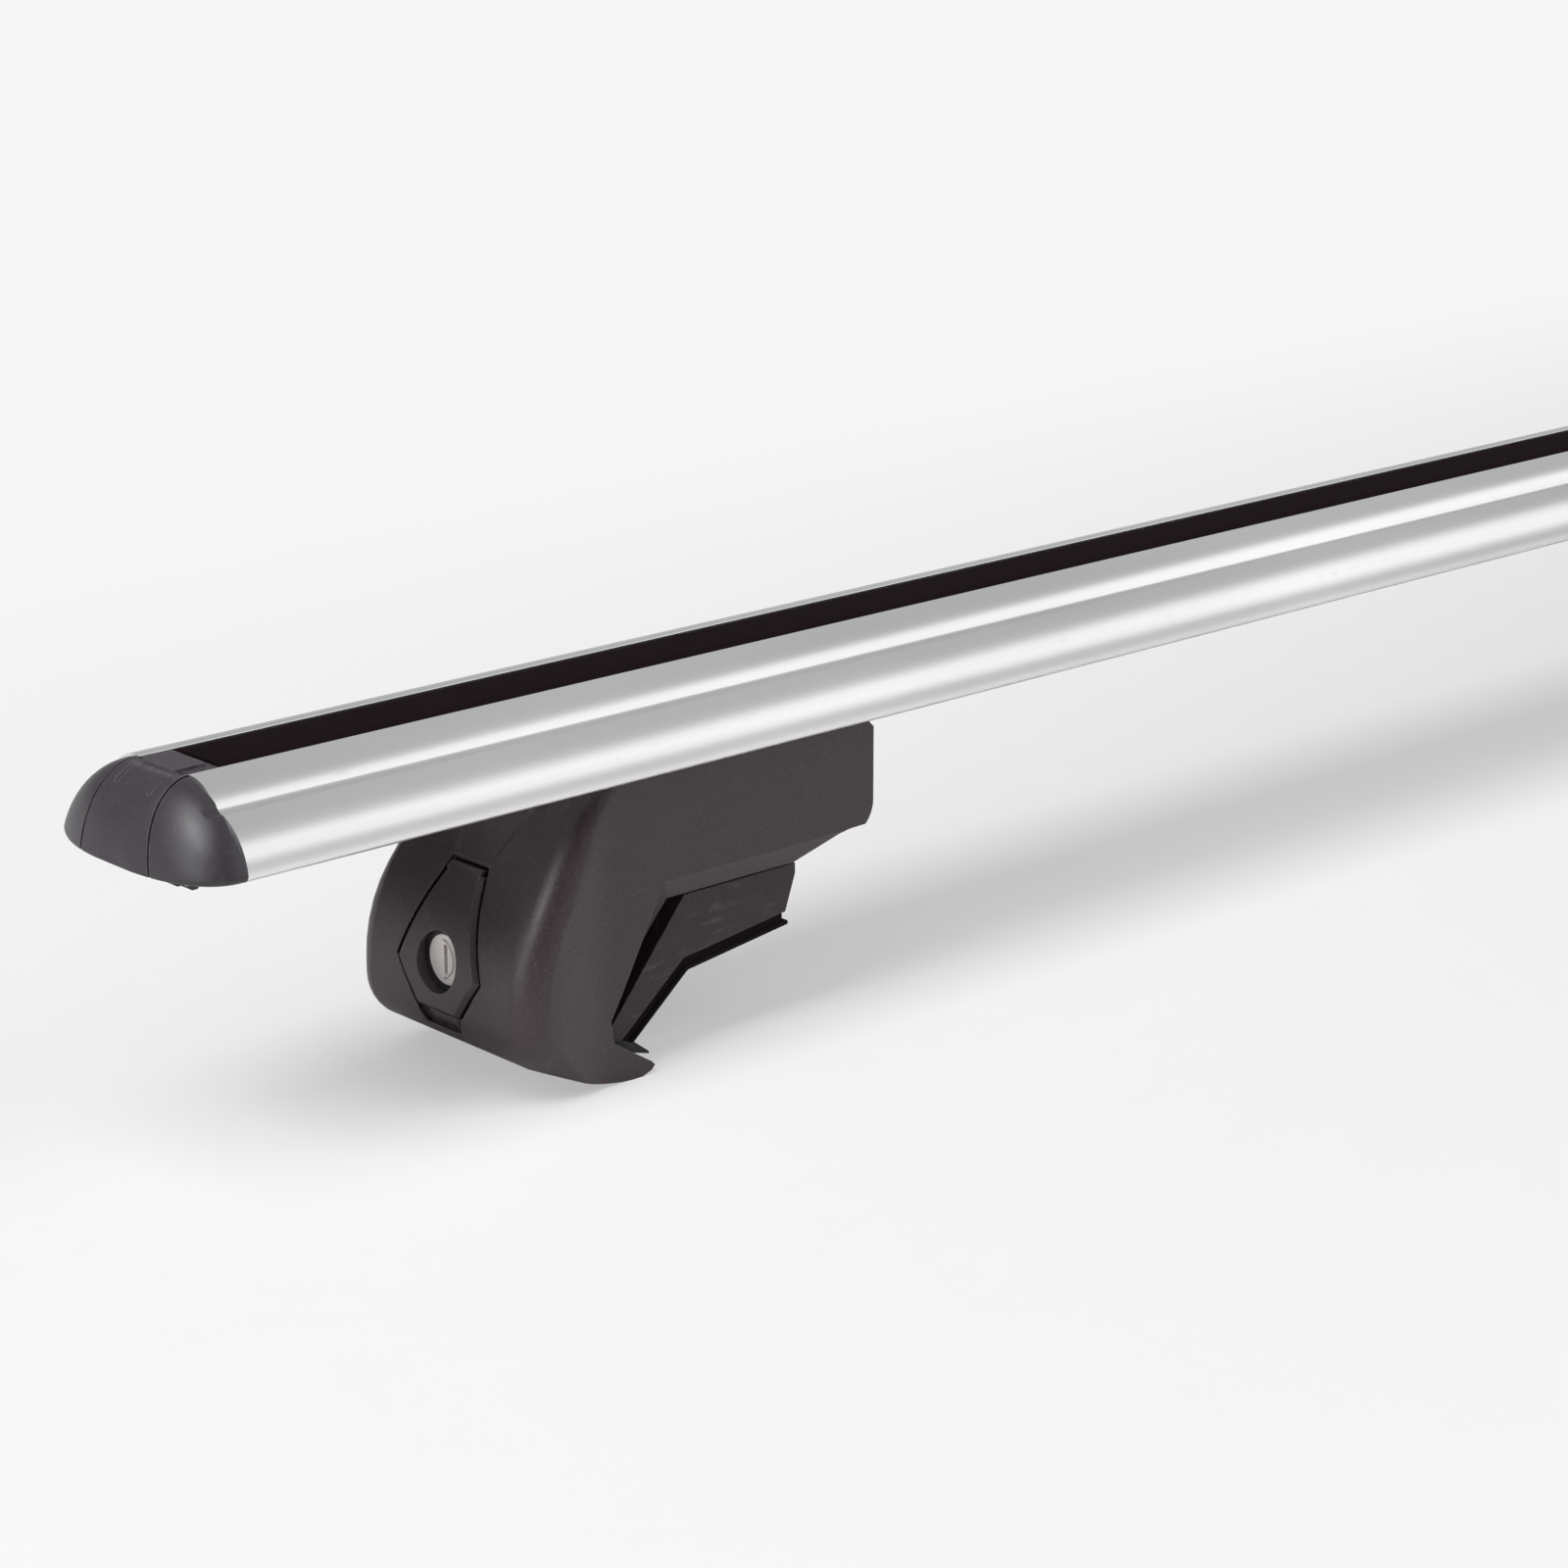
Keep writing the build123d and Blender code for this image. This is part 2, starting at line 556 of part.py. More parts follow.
def make_casing():
    """The foot casing: rounded nose, bevelled rail cut-out, hook, kite opening and open top."""
    body = rounded_block()
    far = FOOT_LENGTH + CASING_SIDE
    tip_start = HOOK_TIP - HOOK_TIP_ROUND
    cut = [(tip_start, -CASING_WALL), (tip_start, 0), (HOOK_TIP - HOOK_TIP_ROUND / 4, HOOK_TIP_HEIGHT / 3)]
    cut = cut + [(HOOK_TIP, 2 * HOOK_TIP_HEIGHT / 3), (HOOK_TIP - HOOK_TIP_ROUND / 4, HOOK_TIP_HEIGHT)]
    cut = cut + [(HOOK_ROOT_U, HOOK_ROOT_Z), (LEG_FOOT_U, LEG_FOOT_Z), (LEG_KNEE_U, LEG_KNEE_Z)]
    slope = WING_RISE / (FOOT_LENGTH - CUT_END_U)
    wing_low = (FOOT_LENGTH - WING_CORNER, CUT_TOP_Z + WING_RISE - WING_CORNER * slope)
    wing_side = (FOOT_LENGTH, CUT_TOP_Z + WING_RISE + WING_CORNER * (1 - slope))
    cut = cut + [(CUT_CORNER_U, CUT_TOP_Z), (CUT_END_U, CUT_TOP_Z), wing_low]
    lines = Polyline(*cut) + arc(wing_low, wing_side, WING_CORNER)
    lines = lines + Polyline(wing_side, (far, wing_side[1]), (far, -CASING_WALL), cut[0])
    body = body - across(make_face(lines), -FOOT_WIDTH, FOOT_WIDTH)
    corner = [(FOOT_LENGTH - WING_TOP_CHAMFER, CASING_TOP), (FOOT_LENGTH, CASING_TOP - WING_TOP_CHAMFER)]
    corner = corner + [(far, CASING_TOP - WING_TOP_CHAMFER), (far, FOOT_HEIGHT), (corner[0][0], FOOT_HEIGHT)]
    body = body - across(polygon(corner), -FOOT_WIDTH, FOOT_WIDTH)
    knee = (LEG_KNEE_U, LEG_KNEE_Z)
    wing_end = (FOOT_LENGTH, CUT_TOP_Z + WING_RISE)
    closing = (FOOT_LENGTH, LEG_KNEE_Z)
    bevel_top = CUT_TOP_Z + BEVEL_HEIGHT
    wide = [knee, (CUT_CORNER_U - BEVEL_DEPTH, bevel_top), (CUT_END_U, bevel_top)]
    narrow = [knee, (CUT_CORNER_U, CUT_TOP_Z), (CUT_END_U, CUT_TOP_Z)]
    outer_face = Plane.XZ.offset(-FOOT_HALF) * polygon(wide + [wing_end, closing])
    inner_face = Plane.XZ.offset(-FOOT_HALF + BEVEL_DEPTH) * polygon(narrow + [wing_end, closing])
    body = body - both_sides(loft([outer_face, inner_face], ruled=True))
    inner, heel_top, sole = side_profile(CASING_WALL, FOOT_HEIGHT + CASING_WALL, FOOT_LENGTH - CASING_WALL)
    room = across(inner, -CAVITY_HALF, CAVITY_HALF)
    floor_u = CUT_END_U - CASING_WALL
    floor = [(floor_u, -CASING_WALL), (far, -CASING_WALL)]
    floor_end = CUT_TOP_Z + WING_RISE + CASING_WALL
    floor = floor + [(far, floor_end), (FOOT_LENGTH, floor_end), (floor_u, CUT_TOP_Z + CASING_WALL)]
    room = room - across(polygon(floor), -FOOT_WIDTH, FOOT_WIDTH)
    body = body - room
    body = body - kite(COVER_GAP, BOLT_HEAD_U)
    body = body - panel_cut()
    half = COVER_BOTTOM_HALF + COVER_GAP
    scoop_low = COVER_BOTTOM_Z - COVER_GAP - SCOOP_HEIGHT
    scoop = [(-half, scoop_low + SCOOP_HEIGHT), (-half + SCOOP_DEPTH, scoop_low)]
    scoop = scoop + [(half - SCOOP_DEPTH, scoop_low), (half, scoop_low + SCOOP_HEIGHT)]
    scoop = along(polygon(scoop), -CASING_WALL, LOCK_END_U)
    bottom, heel_top, sole = side_profile(SCOOP_DEPTH, FOOT_HEIGHT, FOOT_LENGTH)
    body = body - (scoop - across(bottom, -FOOT_WIDTH, FOOT_WIDTH))
    filled, heel_top, sole = side_profile(CASING_WALL / 2, FOOT_HEIGHT, FOOT_LENGTH)
    inside = across(filled, -FOOT_WIDTH, FOOT_WIDTH)
    catch_top = COVER_BOTTOM_Z - COVER_GAP
    catch_end = LOCK_END_U + CAM_GAP - CATCH_GAP
    catch = block(0, catch_end, -CATCH_HALF, CATCH_HALF, catch_top - CATCH_HEIGHT, catch_top) & inside
    low = COVER_TOP_HALF + COVER_GAP
    boss = rod_y(COVER_PIN_BOSS, low, low + COVER_PIN_REACH + CASING_WALL, HINGE_U, HINGE_Z) & inside
    reach = low + COVER_PIN_REACH
    backing_top = COVER_TOP_Z + COVER_GAP + CASING_WALL
    backing = block(HINGE_U, BOLT_HEAD_U - CATCH_GAP, -reach, reach, HINGE_Z, backing_top) & inside
    body = body + catch + backing + both_sides(boss - kite(COVER_GAP, BOLT_HEAD_U))
    body = body - rod_y(COVER_HINGE_RADIUS + COVER_HINGE_GAP, -low, low, HINGE_U, HINGE_Z)
    return body - rod_y(COVER_PIN_RADIUS, -reach, reach, HINGE_U, HINGE_Z)


def make_cover():
    """The lock cover: kite plate bent over the nose, hinge barrel at its top, lock boss behind."""
    outer, heel_top, sole = side_profile(-COVER_PROUD, 2 * FOOT_HEIGHT, FOOT_LENGTH)
    inner, heel_top, sole = side_profile(COVER_THICKNESS - COVER_PROUD, 2 * FOOT_HEIGHT, FOOT_LENGTH)
    hull = across(outer, -FOOT_WIDTH, FOOT_WIDTH)
    plate = (hull - across(inner, -FOOT_WIDTH, FOOT_WIDTH)) & kite(0, BOLT_HEAD_U)
    front = -CASING_WALL - COVER_PROUD
    lean = radians(NOSE_LEAN)
    above = [(HINGE_U, HINGE_Z), (HINGE_U - FOOT_WIDTH * cos(lean), HINGE_Z + FOOT_WIDTH * sin(lean))]
    above = above + [(BOLT_HEAD_U, 3 * FOOT_HEIGHT), (BOLT_HEAD_U, HINGE_Z)]
    plate = plate - across(polygon(above), -FOOT_WIDTH, FOOT_WIDTH)
    fronts = plate.faces().filter_by(lambda face: face.normal_at().X < -0.3)
    rims = []
    for edge in plate.edges():
        touching = [face for face in fronts if edge in face.edges()]
        if len(touching) == 1 and edge.center().Z < HINGE_Z - COVER_BEVEL:
            rims.append(edge)
    plate = chamfer(rims, COVER_BEVEL)
    barrel = rod_y(COVER_HINGE_RADIUS, -COVER_TOP_HALF, COVER_TOP_HALF, HINGE_U, HINGE_Z)
    boss_radius = LOCK_HOLE_RADIUS + LOCK_BOSS_WALL
    boss = rod_x(boss_radius, 0, LOCK_END_U - CAM_GAP, 0, LOCK_Z) & hull
    cover = plate + barrel + boss
    cover = cover - rod_x(LOCK_HOLE_RADIUS, front, LOCK_END_U + CASING_WALL, 0, LOCK_Z)
    return cover - rod_y(COVER_PIN_RADIUS + FIT_GAP, -FOOT_WIDTH, FOOT_WIDTH, HINGE_U, HINGE_Z)


def make_cover_pin():
    """The lock cover's hinge pin, held in the casing."""
    reach = COVER_TOP_HALF + COVER_GAP + COVER_PIN_REACH
    return rod_y(COVER_PIN_RADIUS, -reach, reach, HINGE_U, HINGE_Z)


LOCK_FACE_U = LOCK_RECESS - COVER_PROUD


def make_lock_barrel():
    """The lock's fixed barrel in the cover's boss."""
    tube = rod_x(LOCK_HOLE_RADIUS, LOCK_FACE_U, LOCK_END_U - CAM_GAP, 0, LOCK_Z)
    return tube - rod_x(LOCK_RADIUS + LOCK_GAP, 0, LOCK_END_U + CASING_WALL, 0, LOCK_Z)


def make_lock_plug():
    """The turning plug: keyway slot, half-moon beside it and a flatted tail for the cam."""
    plug = rod_x(LOCK_RADIUS, LOCK_FACE_U, LOCK_END_U, 0, LOCK_Z)
    half = KEYWAY_WIDTH / 2
    reach = KEYWAY_LENGTH / 2
    slot = block(0, LOCK_FACE_U + KEYWAY_DEPTH, -half, half, LOCK_Z - reach, LOCK_Z + reach)
    moon = rod_x(LOCK_RADIUS - KEYWAY_WIDTH, 0, LOCK_FACE_U + KEYWAY_WIDTH / 2, 0, LOCK_Z)
    moon = moon - rod_x(LOCK_RADIUS - KEYWAY_WIDTH, 0, LOCK_END_U, KEYWAY_WIDTH * 2, LOCK_Z)
    tail_end = LOCK_END_U + CAM_GAP + PLUG_TAIL
    tail = block(LOCK_END_U, tail_end, -PLUG_TAIL, PLUG_TAIL, LOCK_Z - PLUG_TAIL, LOCK_Z + PLUG_TAIL)
    tail = tail & rod_x(PLUG_TAIL + KEYWAY_WIDTH / 2, 0, BOLT_HEAD_U + PLUG_TAIL, 0, LOCK_Z)
    return plug - slot - moon + tail


def make_lock_cam():
    """The cam on the plug's tail; it points up when unlocked and down, behind the catch, when locked."""
    start = LOCK_END_U + CAM_GAP
    hub = rod_x(CAM_WIDTH - KEYWAY_WIDTH, start, start + CAM_THICKNESS, 0, LOCK_Z)
    half = CAM_WIDTH / 2
    arm = block(start, start + CAM_THICKNESS, -half, half, LOCK_Z, LOCK_Z + CAM_LENGTH)
    low = LOCK_Z - PLUG_TAIL
    hole = block(start - CAM_GAP, start + PLUG_TAIL, -PLUG_TAIL, PLUG_TAIL, low, LOCK_Z + PLUG_TAIL)
    hole = hole & rod_x(PLUG_TAIL + KEYWAY_WIDTH / 2, 0, BOLT_HEAD_U + PLUG_TAIL, 0, LOCK_Z)
    return hub + arm - hole


def toe_height(u):
    """Height of the line just above the hook plate on which the saddle and its sole end."""
    slope = radians(HOOK_FOOT_SLOPE)
    return HOOK_FOOT_TIP_Z + HOOK_PLATE / cos(slope) + (HOOK_FOOT_TIP_U - u) * tan(slope) + TOE_GAP


def toe_point(start, rise):
    """Where a line from a start point, with that rise along u, comes down on the toe line."""
    u = start[0] - (start[1] - toe_height(start[0])) / (rise + tan(radians(HOOK_FOOT_SLOPE)))
    return (u, toe_height(u))


def seat_line(depth):
    """The rail seat's underside as corner points, moved up into the saddle by a depth."""
    top = radians(SEAT_TOP_SLOPE)
    side = radians(SEAT_SIDE_SLOPE)
    half_turn = (top + side) / 2
    reach = depth / cos((side - top) / 2)
    corner = (SEAT_CORNER_U - reach * sin(half_turn), SEAT_CORNER_Z + reach * cos(half_turn))
    end = (SEAT_END_U, corner[1] + (SEAT_END_U - corner[0]) * tan(top))
    return [toe_point(corner, tan(side)), corner, end]


def make_pad():
    """The rubber sole: inset band with a wider lip at the rail side."""
    low, corner, end = seat_line(0)
    lip_low, lip_corner, lip_end = seat_line(PAD_LIP)
    top_low, top_corner, top_end = seat_line(PAD_THICKNESS)
    lip = across(polygon([low, corner, end, lip_end, lip_corner, lip_low]), -SADDLE_HALF, SADDLE_HALF)
    back = PAD_INSET
    body = [lip_low, lip_corner, (lip_end[0] - back, lip_end[1] - back * tan(radians(SEAT_TOP_SLOPE)))]
    body = body + [(top_end[0] - back, top_end[1] - back * tan(radians(SEAT_TOP_SLOPE))), top_corner, top_low]
    return lip + across(polygon(body), -SADDLE_HALF + PAD_INSET, SADDLE_HALF - PAD_INSET)


def make_saddle():
    """The saddle: block above the sole with a tray for the bracket and counterbored screw holes."""
    low, corner, end = seat_line(PAD_THICKNESS)
    side = radians(SEAT_SIDE_SLOPE)
    knee = (corner[0] - SADDLE_BACK * sin(side), corner[1] + SADDLE_BACK * cos(side))
    back_u = low[0] - SADDLE_BACK * sin(side) / 2
    back_z = low[1] + SADDLE_BACK * cos(side) / 2
    heel = toe_point(knee, (knee[1] - back_z) / (knee[0] - back_u))
    top_u = knee[0] + (SADDLE_TOP - knee[1]) * tan(side)
    outline = [low, corner, (end[0] - PAD_INSET, end[1] - PAD_INSET * tan(radians(SEAT_TOP_SLOPE)))]
    outline = outline + [(SADDLE_END_U, TRAY_FLOOR), (SADDLE_END_U, SADDLE_TOP), (top_u, SADDLE_TOP)]
    outline = outline + [knee, heel]
    body = across(polygon(outline), -SADDLE_HALF, SADDLE_HALF)
    tray = BRACKET_WIDTH / 2 + TRAY_GAP
    body = body - block(0, BRACKET_FLANGE_END_U + TRAY_GAP, -tray, tray, TRAY_FLOOR, FOOT_HEIGHT)
    for y in (-SCREW_Y, SCREW_Y):
        body = body - rod_z(SCREW_RADIUS + HOLE_GAP, 0, FOOT_HEIGHT, SCREW_U, y)
        body = body - rod_z(SCREW_HEAD_RADIUS + HOLE_GAP, 0, TRAY_FLOOR - SCREW_HEAD_DEPTH, SCREW_U, y)
    return body


def make_bracket():
    """The steel channel: plate under the bar, two flanges with the barrel nut's holes, lips on the saddle."""
    half = BRACKET_WIDTH / 2
    under = FOOT_HEIGHT - BRACKET_PLATE
    plate = block(BRACKET_START_U, BRACKET_END_U, -half, half, under, FOOT_HEIGHT)
    low_u = BARREL_NUT_U - 2 * BARREL_NUT_RADIUS
    waist = BOLT_Z + 2 * BARREL_NUT_RADIUS
    side = [(BRACKET_START_U, FOOT_HEIGHT), (BRACKET_START_U, waist), (low_u, TRAY_FLOOR)]
    side = side + [(BRACKET_FLANGE_END_U, TRAY_FLOOR), (BRACKET_FLANGE_END_U, waist)]
    side = side + [(BRACKET_END_U, under - 2 * BRACKET_PLATE), (BRACKET_END_U, FOOT_HEIGHT)]
    flange = across(polygon(side), half - BRACKET_PLATE, half)
    lip_top = TRAY_FLOOR + BRACKET_PLATE
    lip = block(BRACKET_LIP_START_U, BRACKET_FLANGE_END_U, half - BRACKET_LIP, half, TRAY_FLOOR, lip_top)
    body = plate + both_sides(flange + lip)
    body = body - rod_y(BARREL_NUT_RADIUS + FIT_GAP, -FOOT_WIDTH, FOOT_WIDTH, BARREL_NUT_U, BOLT_Z)
    for u in SLOT_BOLT_US:
        body = body - rod_z(SLOT_BOLT_RADIUS + HOLE_GAP, under - WEB, FOOT_HEIGHT + WEB, u, 0)
    for y in (-SCREW_Y, SCREW_Y):
        body = body - rod_z(SCREW_RADIUS, TRAY_FLOOR - WEB, lip_top + WEB, SCREW_U, y)
    return body


def make_slot_bolts():
    """The two T-bolts: square heads on the channel's lips, shanks down through the bracket."""
    bolts = []
    head_low = FOOT_HEIGHT + CHANNEL_LIP
    head_high = FOOT_HEIGHT + CHANNEL_TOP - SLOT_BOLT_HEAD_GAP
    end = FOOT_HEIGHT - BRACKET_PLATE - WASHER_HEIGHT - NUT_HEIGHT - SLOT_BOLT_END
    half = SLOT_BOLT_HEAD / 2
    for u in SLOT_BOLT_US:
        head = block(u - half, u + half, -half, half, head_low, head_high)
        bolts.append(head + rod_z(SLOT_BOLT_RADIUS, end, head_high, u, 0))
    return Compound(children=[bolt.solid() for bolt in bolts])


def make_slot_washers():
    """The washers under the bracket's plate."""
    top = FOOT_HEIGHT - BRACKET_PLATE
    rings = []
    for u in SLOT_BOLT_US:
        ring = rod_z(WASHER_RADIUS, top - WASHER_HEIGHT, top, u, 0)
        rings.append(ring - rod_z(SLOT_BOLT_RADIUS + HOLE_GAP, 0, FOOT_HEIGHT, u, 0))
    return Compound(children=[ring.solid() for ring in rings])


def make_slot_nuts():
    """The hexagon nuts under the washers."""
    top = FOOT_HEIGHT - BRACKET_PLATE - WASHER_HEIGHT
    nuts = []
    for u in SLOT_BOLT_US:
        face = Pos(u, 0) * RegularPolygon(NUT_AF / 2, 6, major_radius=False)
        nut = upright(face, top - NUT_HEIGHT, top)
        nuts.append(nut - rod_z(SLOT_BOLT_RADIUS + FIT_GAP, 0, FOOT_HEIGHT, u, 0))
    return Compound(children=[nut.solid() for nut in nuts])


def make_saddle_screws():
    """The two screws that hold the saddle to the bracket's lips."""
    screws = []
    seat = TRAY_FLOOR - SCREW_HEAD_DEPTH
    for y in (-SCREW_Y, SCREW_Y):
        head = rod_z(SCREW_HEAD_RADIUS, seat - SCREW_HEAD_HEIGHT, seat, SCREW_U, y)
        shank = rod_z(SCREW_RADIUS - FIT_GAP, seat, TRAY_FLOOR + BRACKET_PLATE, SCREW_U, y)
        face = Pos(SCREW_U, y) * RegularPolygon(SCREW_RADIUS / 2, 6)
        drive = upright(face, seat - SCREW_HEAD_HEIGHT, seat - SCREW_HEAD_HEIGHT / 2)
        screws.append(head + shank - drive)
    return Compound(children=[screw.solid() for screw in screws])


def make_clamp_bolt():
    """The socket head bolt that draws the hook towards the saddle."""
    under_head = BOLT_HEAD_U + BOLT_HEAD_HEIGHT
    head = rod_x(BOLT_HEAD_RADIUS, BOLT_HEAD_U, under_head, 0, BOLT_Z)
    shank = rod_x(BOLT_RADIUS, under_head, under_head + BOLT_LENGTH, 0, BOLT_Z)
    face = Pos(0, BOLT_Z) * RegularPolygon(BOLT_SOCKET_AF / 2, 6, major_radius=False)
    return head + shank - along(face, BOLT_HEAD_U, BOLT_HEAD_U + BOLT_SOCKET_DEPTH)


def make_bolt_washer():
    """The washer under the clamp bolt's head."""
    start = BOLT_HEAD_U + BOLT_HEAD_HEIGHT
    ring = rod_x(WASHER_RADIUS, start, start + WASHER_HEIGHT, 0, BOLT_Z)
    return ring - rod_x(BOLT_RADIUS + HOLE_GAP, 0, FOOT_LENGTH, 0, BOLT_Z)


def make_barrel_nut():
    """The cross nut in the bracket's flanges."""
    half = BRACKET_WIDTH / 2
    nut = rod_y(BARREL_NUT_RADIUS, -half, half, BARREL_NUT_U, BOLT_Z)
    return nut - rod_x(BOLT_RADIUS + FIT_GAP, 0, FOOT_LENGTH, 0, BOLT_Z)


def make_hook_plate():
    """The steel hook: upright plate for the bolt, bent at the foot to the hook under the rail."""
    slope = radians(HOOK_FOOT_SLOPE)
    back = UPRIGHT_U + HOOK_PLATE
    top_rise = HOOK_PLATE / cos(slope)
    tip = (HOOK_FOOT_TIP_U, HOOK_FOOT_TIP_Z)
    bottom = (UPRIGHT_U, HOOK_FOOT_TIP_Z + (HOOK_FOOT_TIP_U - UPRIGHT_U) * tan(slope))
    inner = (back, HOOK_FOOT_TIP_Z + (HOOK_FOOT_TIP_U - back) * tan(slope) + top_rise)
    shoulder = (HOOK_FOOT_TIP_U - HOOK_FOOT_BEVEL, HOOK_FOOT_TIP_Z + HOOK_FOOT_BEVEL * tan(slope) + top_rise)
    points = [(UPRIGHT_U, HOOK_PLATE_TOP_Z), bottom, tip, (tip[0], tip[1] + HOOK_PLATE / 4)]
    points = points + [shoulder, inner, (back, HOOK_PLATE_TOP_Z)]
    face = polygon(points)
    inside = face.vertices().sort_by_distance(Vector(inner[0], inner[1], 0))[0]
    face = fillet([inside], HOOK_BEND)
    outside = face.vertices().sort_by_distance(Vector(bottom[0], bottom[1], 0))[0]
    face = fillet([outside], HOOK_BEND + HOOK_PLATE)
    body = across(face, -HOOK_PLATE_HALF, HOOK_PLATE_HALF)
    rise = HOOK_PLATE_HALF - HOOK_STEM_HALF
    side = [(HOOK_PLATE_HALF, HOOK_STEM_Z), (HOOK_STEM_HALF, HOOK_STEM_Z + rise)]
    side = side + [(HOOK_STEM_HALF, FOOT_HEIGHT), (FOOT_WIDTH, FOOT_HEIGHT), (FOOT_WIDTH, HOOK_STEM_Z)]
    body = body - both_sides(along(polygon(side), 0, FOOT_LENGTH))
    return body - rod_x(BOLT_RADIUS + HOLE_GAP, 0, FOOT_LENGTH, 0, BOLT_Z)


os.makedirs("parts", exist_ok=True)

END_X = -BAR_LENGTH / 2
TO_END = Pos(END_X, 0, FOOT_HEIGHT)
TO_FOOT = Pos(END_X + FOOT_INSET, 0, 0)

export_step(Pos(0, 0, FOOT_HEIGHT) * make_bar(), "parts/bar_profile.step")
export_step(Pos(0, 0, FOOT_HEIGHT) * make_strip(), "parts/slot_strip.step")

end_pieces = {
    "end_cap": TO_END * make_cap(),
    "end_flap": TO_END * make_flap(),
    "flap_pin": TO_END * make_flap_pin(),
    "foot_casing": TO_FOOT * make_casing(),
    "lock_cover": TO_FOOT * make_cover(),
    "cover_pin": TO_FOOT * make_cover_pin(),
    "lock_barrel": TO_FOOT * make_lock_barrel(),
    "lock_plug": TO_FOOT * make_lock_plug(),
    "lock_cam": TO_FOOT * make_lock_cam(),
    "saddle": TO_FOOT * make_saddle(),
    "rail_pad": TO_FOOT * make_pad(),
    "bracket": TO_FOOT * make_bracket(),
    "slot_bolts": TO_FOOT * make_slot_bolts(),
    "slot_washers": TO_FOOT * make_slot_washers(),
    "slot_nuts": TO_FOOT * make_slot_nuts(),
    "saddle_screws": TO_FOOT * make_saddle_screws(),
    "clamp_bolt": TO_FOOT * make_clamp_bolt(),
    "bolt_washer": TO_FOOT * make_bolt_washer(),
    "barrel_nut": TO_FOOT * make_barrel_nut(),
    "hook_plate": TO_FOOT * make_hook_plate(),
}
for name, piece in end_pieces.items():
    export_step(piece, f"parts/{name}_left.step")
    export_step(mirror(piece, about=Plane.YZ), f"parts/{name}_right.step")
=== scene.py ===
import json
import logging
import math
from dataclasses import dataclass, field
from enum import Enum
from typing import Any, Optional, Union

import bmesh
import bpy
from mathutils import Matrix, Vector
from mathutils.bvhtree import BVHTree

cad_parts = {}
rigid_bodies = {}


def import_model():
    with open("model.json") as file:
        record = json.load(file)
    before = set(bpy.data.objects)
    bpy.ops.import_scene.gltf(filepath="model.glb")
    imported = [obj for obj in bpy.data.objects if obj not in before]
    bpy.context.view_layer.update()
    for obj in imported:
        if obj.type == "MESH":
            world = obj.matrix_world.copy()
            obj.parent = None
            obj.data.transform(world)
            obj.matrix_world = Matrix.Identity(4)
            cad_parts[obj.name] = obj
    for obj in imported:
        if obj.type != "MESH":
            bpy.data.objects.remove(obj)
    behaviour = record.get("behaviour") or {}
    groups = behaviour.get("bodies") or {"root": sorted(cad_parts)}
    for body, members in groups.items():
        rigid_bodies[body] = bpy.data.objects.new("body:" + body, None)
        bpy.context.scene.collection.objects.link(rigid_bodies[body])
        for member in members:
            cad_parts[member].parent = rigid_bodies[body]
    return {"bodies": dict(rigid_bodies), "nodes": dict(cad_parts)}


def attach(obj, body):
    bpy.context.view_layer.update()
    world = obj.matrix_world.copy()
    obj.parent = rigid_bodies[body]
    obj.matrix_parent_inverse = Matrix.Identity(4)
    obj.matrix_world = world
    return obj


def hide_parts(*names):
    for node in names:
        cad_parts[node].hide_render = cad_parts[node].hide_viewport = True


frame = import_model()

LOG = logging.getLogger("crossbar")
MM = 0.001
CORNER_ANGLE = math.radians(24)

Point = tuple[float, float]
Triple = tuple[float, float, float]
Colour = Triple
Value = Union["Wire", float, tuple]


class Side(Enum):
    """The two ends of the bar, with the direction that points out of each."""

    LEFT = -1
    RIGHT = 1

    @property
    def tag(self) -> str:
        """The word that ends the names of this end's pieces."""
        return self.name.lower()


class Edge(Enum):
    """How far a moulded piece's corners are rounded off, in millimetres."""

    CRISP = 0.0
    FINE = 0.25
    SOFT = 0.45


class Wire:
    """A shader socket with arithmetic: each operator adds one Math node to its tree."""

    def __init__(self, paint: "Paint", socket: Optional[bpy.types.NodeSocket]) -> None:
        """Keeps the paint that is being mixed and the socket, which a tree's last node lacks."""
        self.paint = paint
        self.socket = socket

    def _math(self, operation: str, first: Value, second: Value) -> "Wire":
        """One Math node on two values."""
        return self.paint.node("ShaderNodeMath", {"operation": operation}, {0: first, 1: second})

    def __add__(self, other: Value) -> "Wire":
        """This value and another."""
        return self._math("ADD", self, other)

    def __radd__(self, other: Value) -> "Wire":
        """A number and this value."""
        return self._math("ADD", other, self)

    def __sub__(self, other: Value) -> "Wire":
        """This value less another."""
        return self._math("SUBTRACT", self, other)

    def __rsub__(self, other: Value) -> "Wire":
        """A number less this value."""
        return self._math("SUBTRACT", other, self)

    def __mul__(self, other: Value) -> "Wire":
        """This value times another."""
        return self._math("MULTIPLY", self, other)

    def __rmul__(self, other: Value) -> "Wire":
        """A number times this value."""
        return self._math("MULTIPLY", other, self)

    def above(self, low: float, high: float) -> "Wire":
        """Nought below low, one above high, with a soft step between."""
        return self.paint.node(
            "ShaderNodeMapRange",
            {"interpolation_type": "SMOOTHSTEP"},
            {0: self, 1: low, 2: high, 3: 0.0, 4: 1.0},
        )


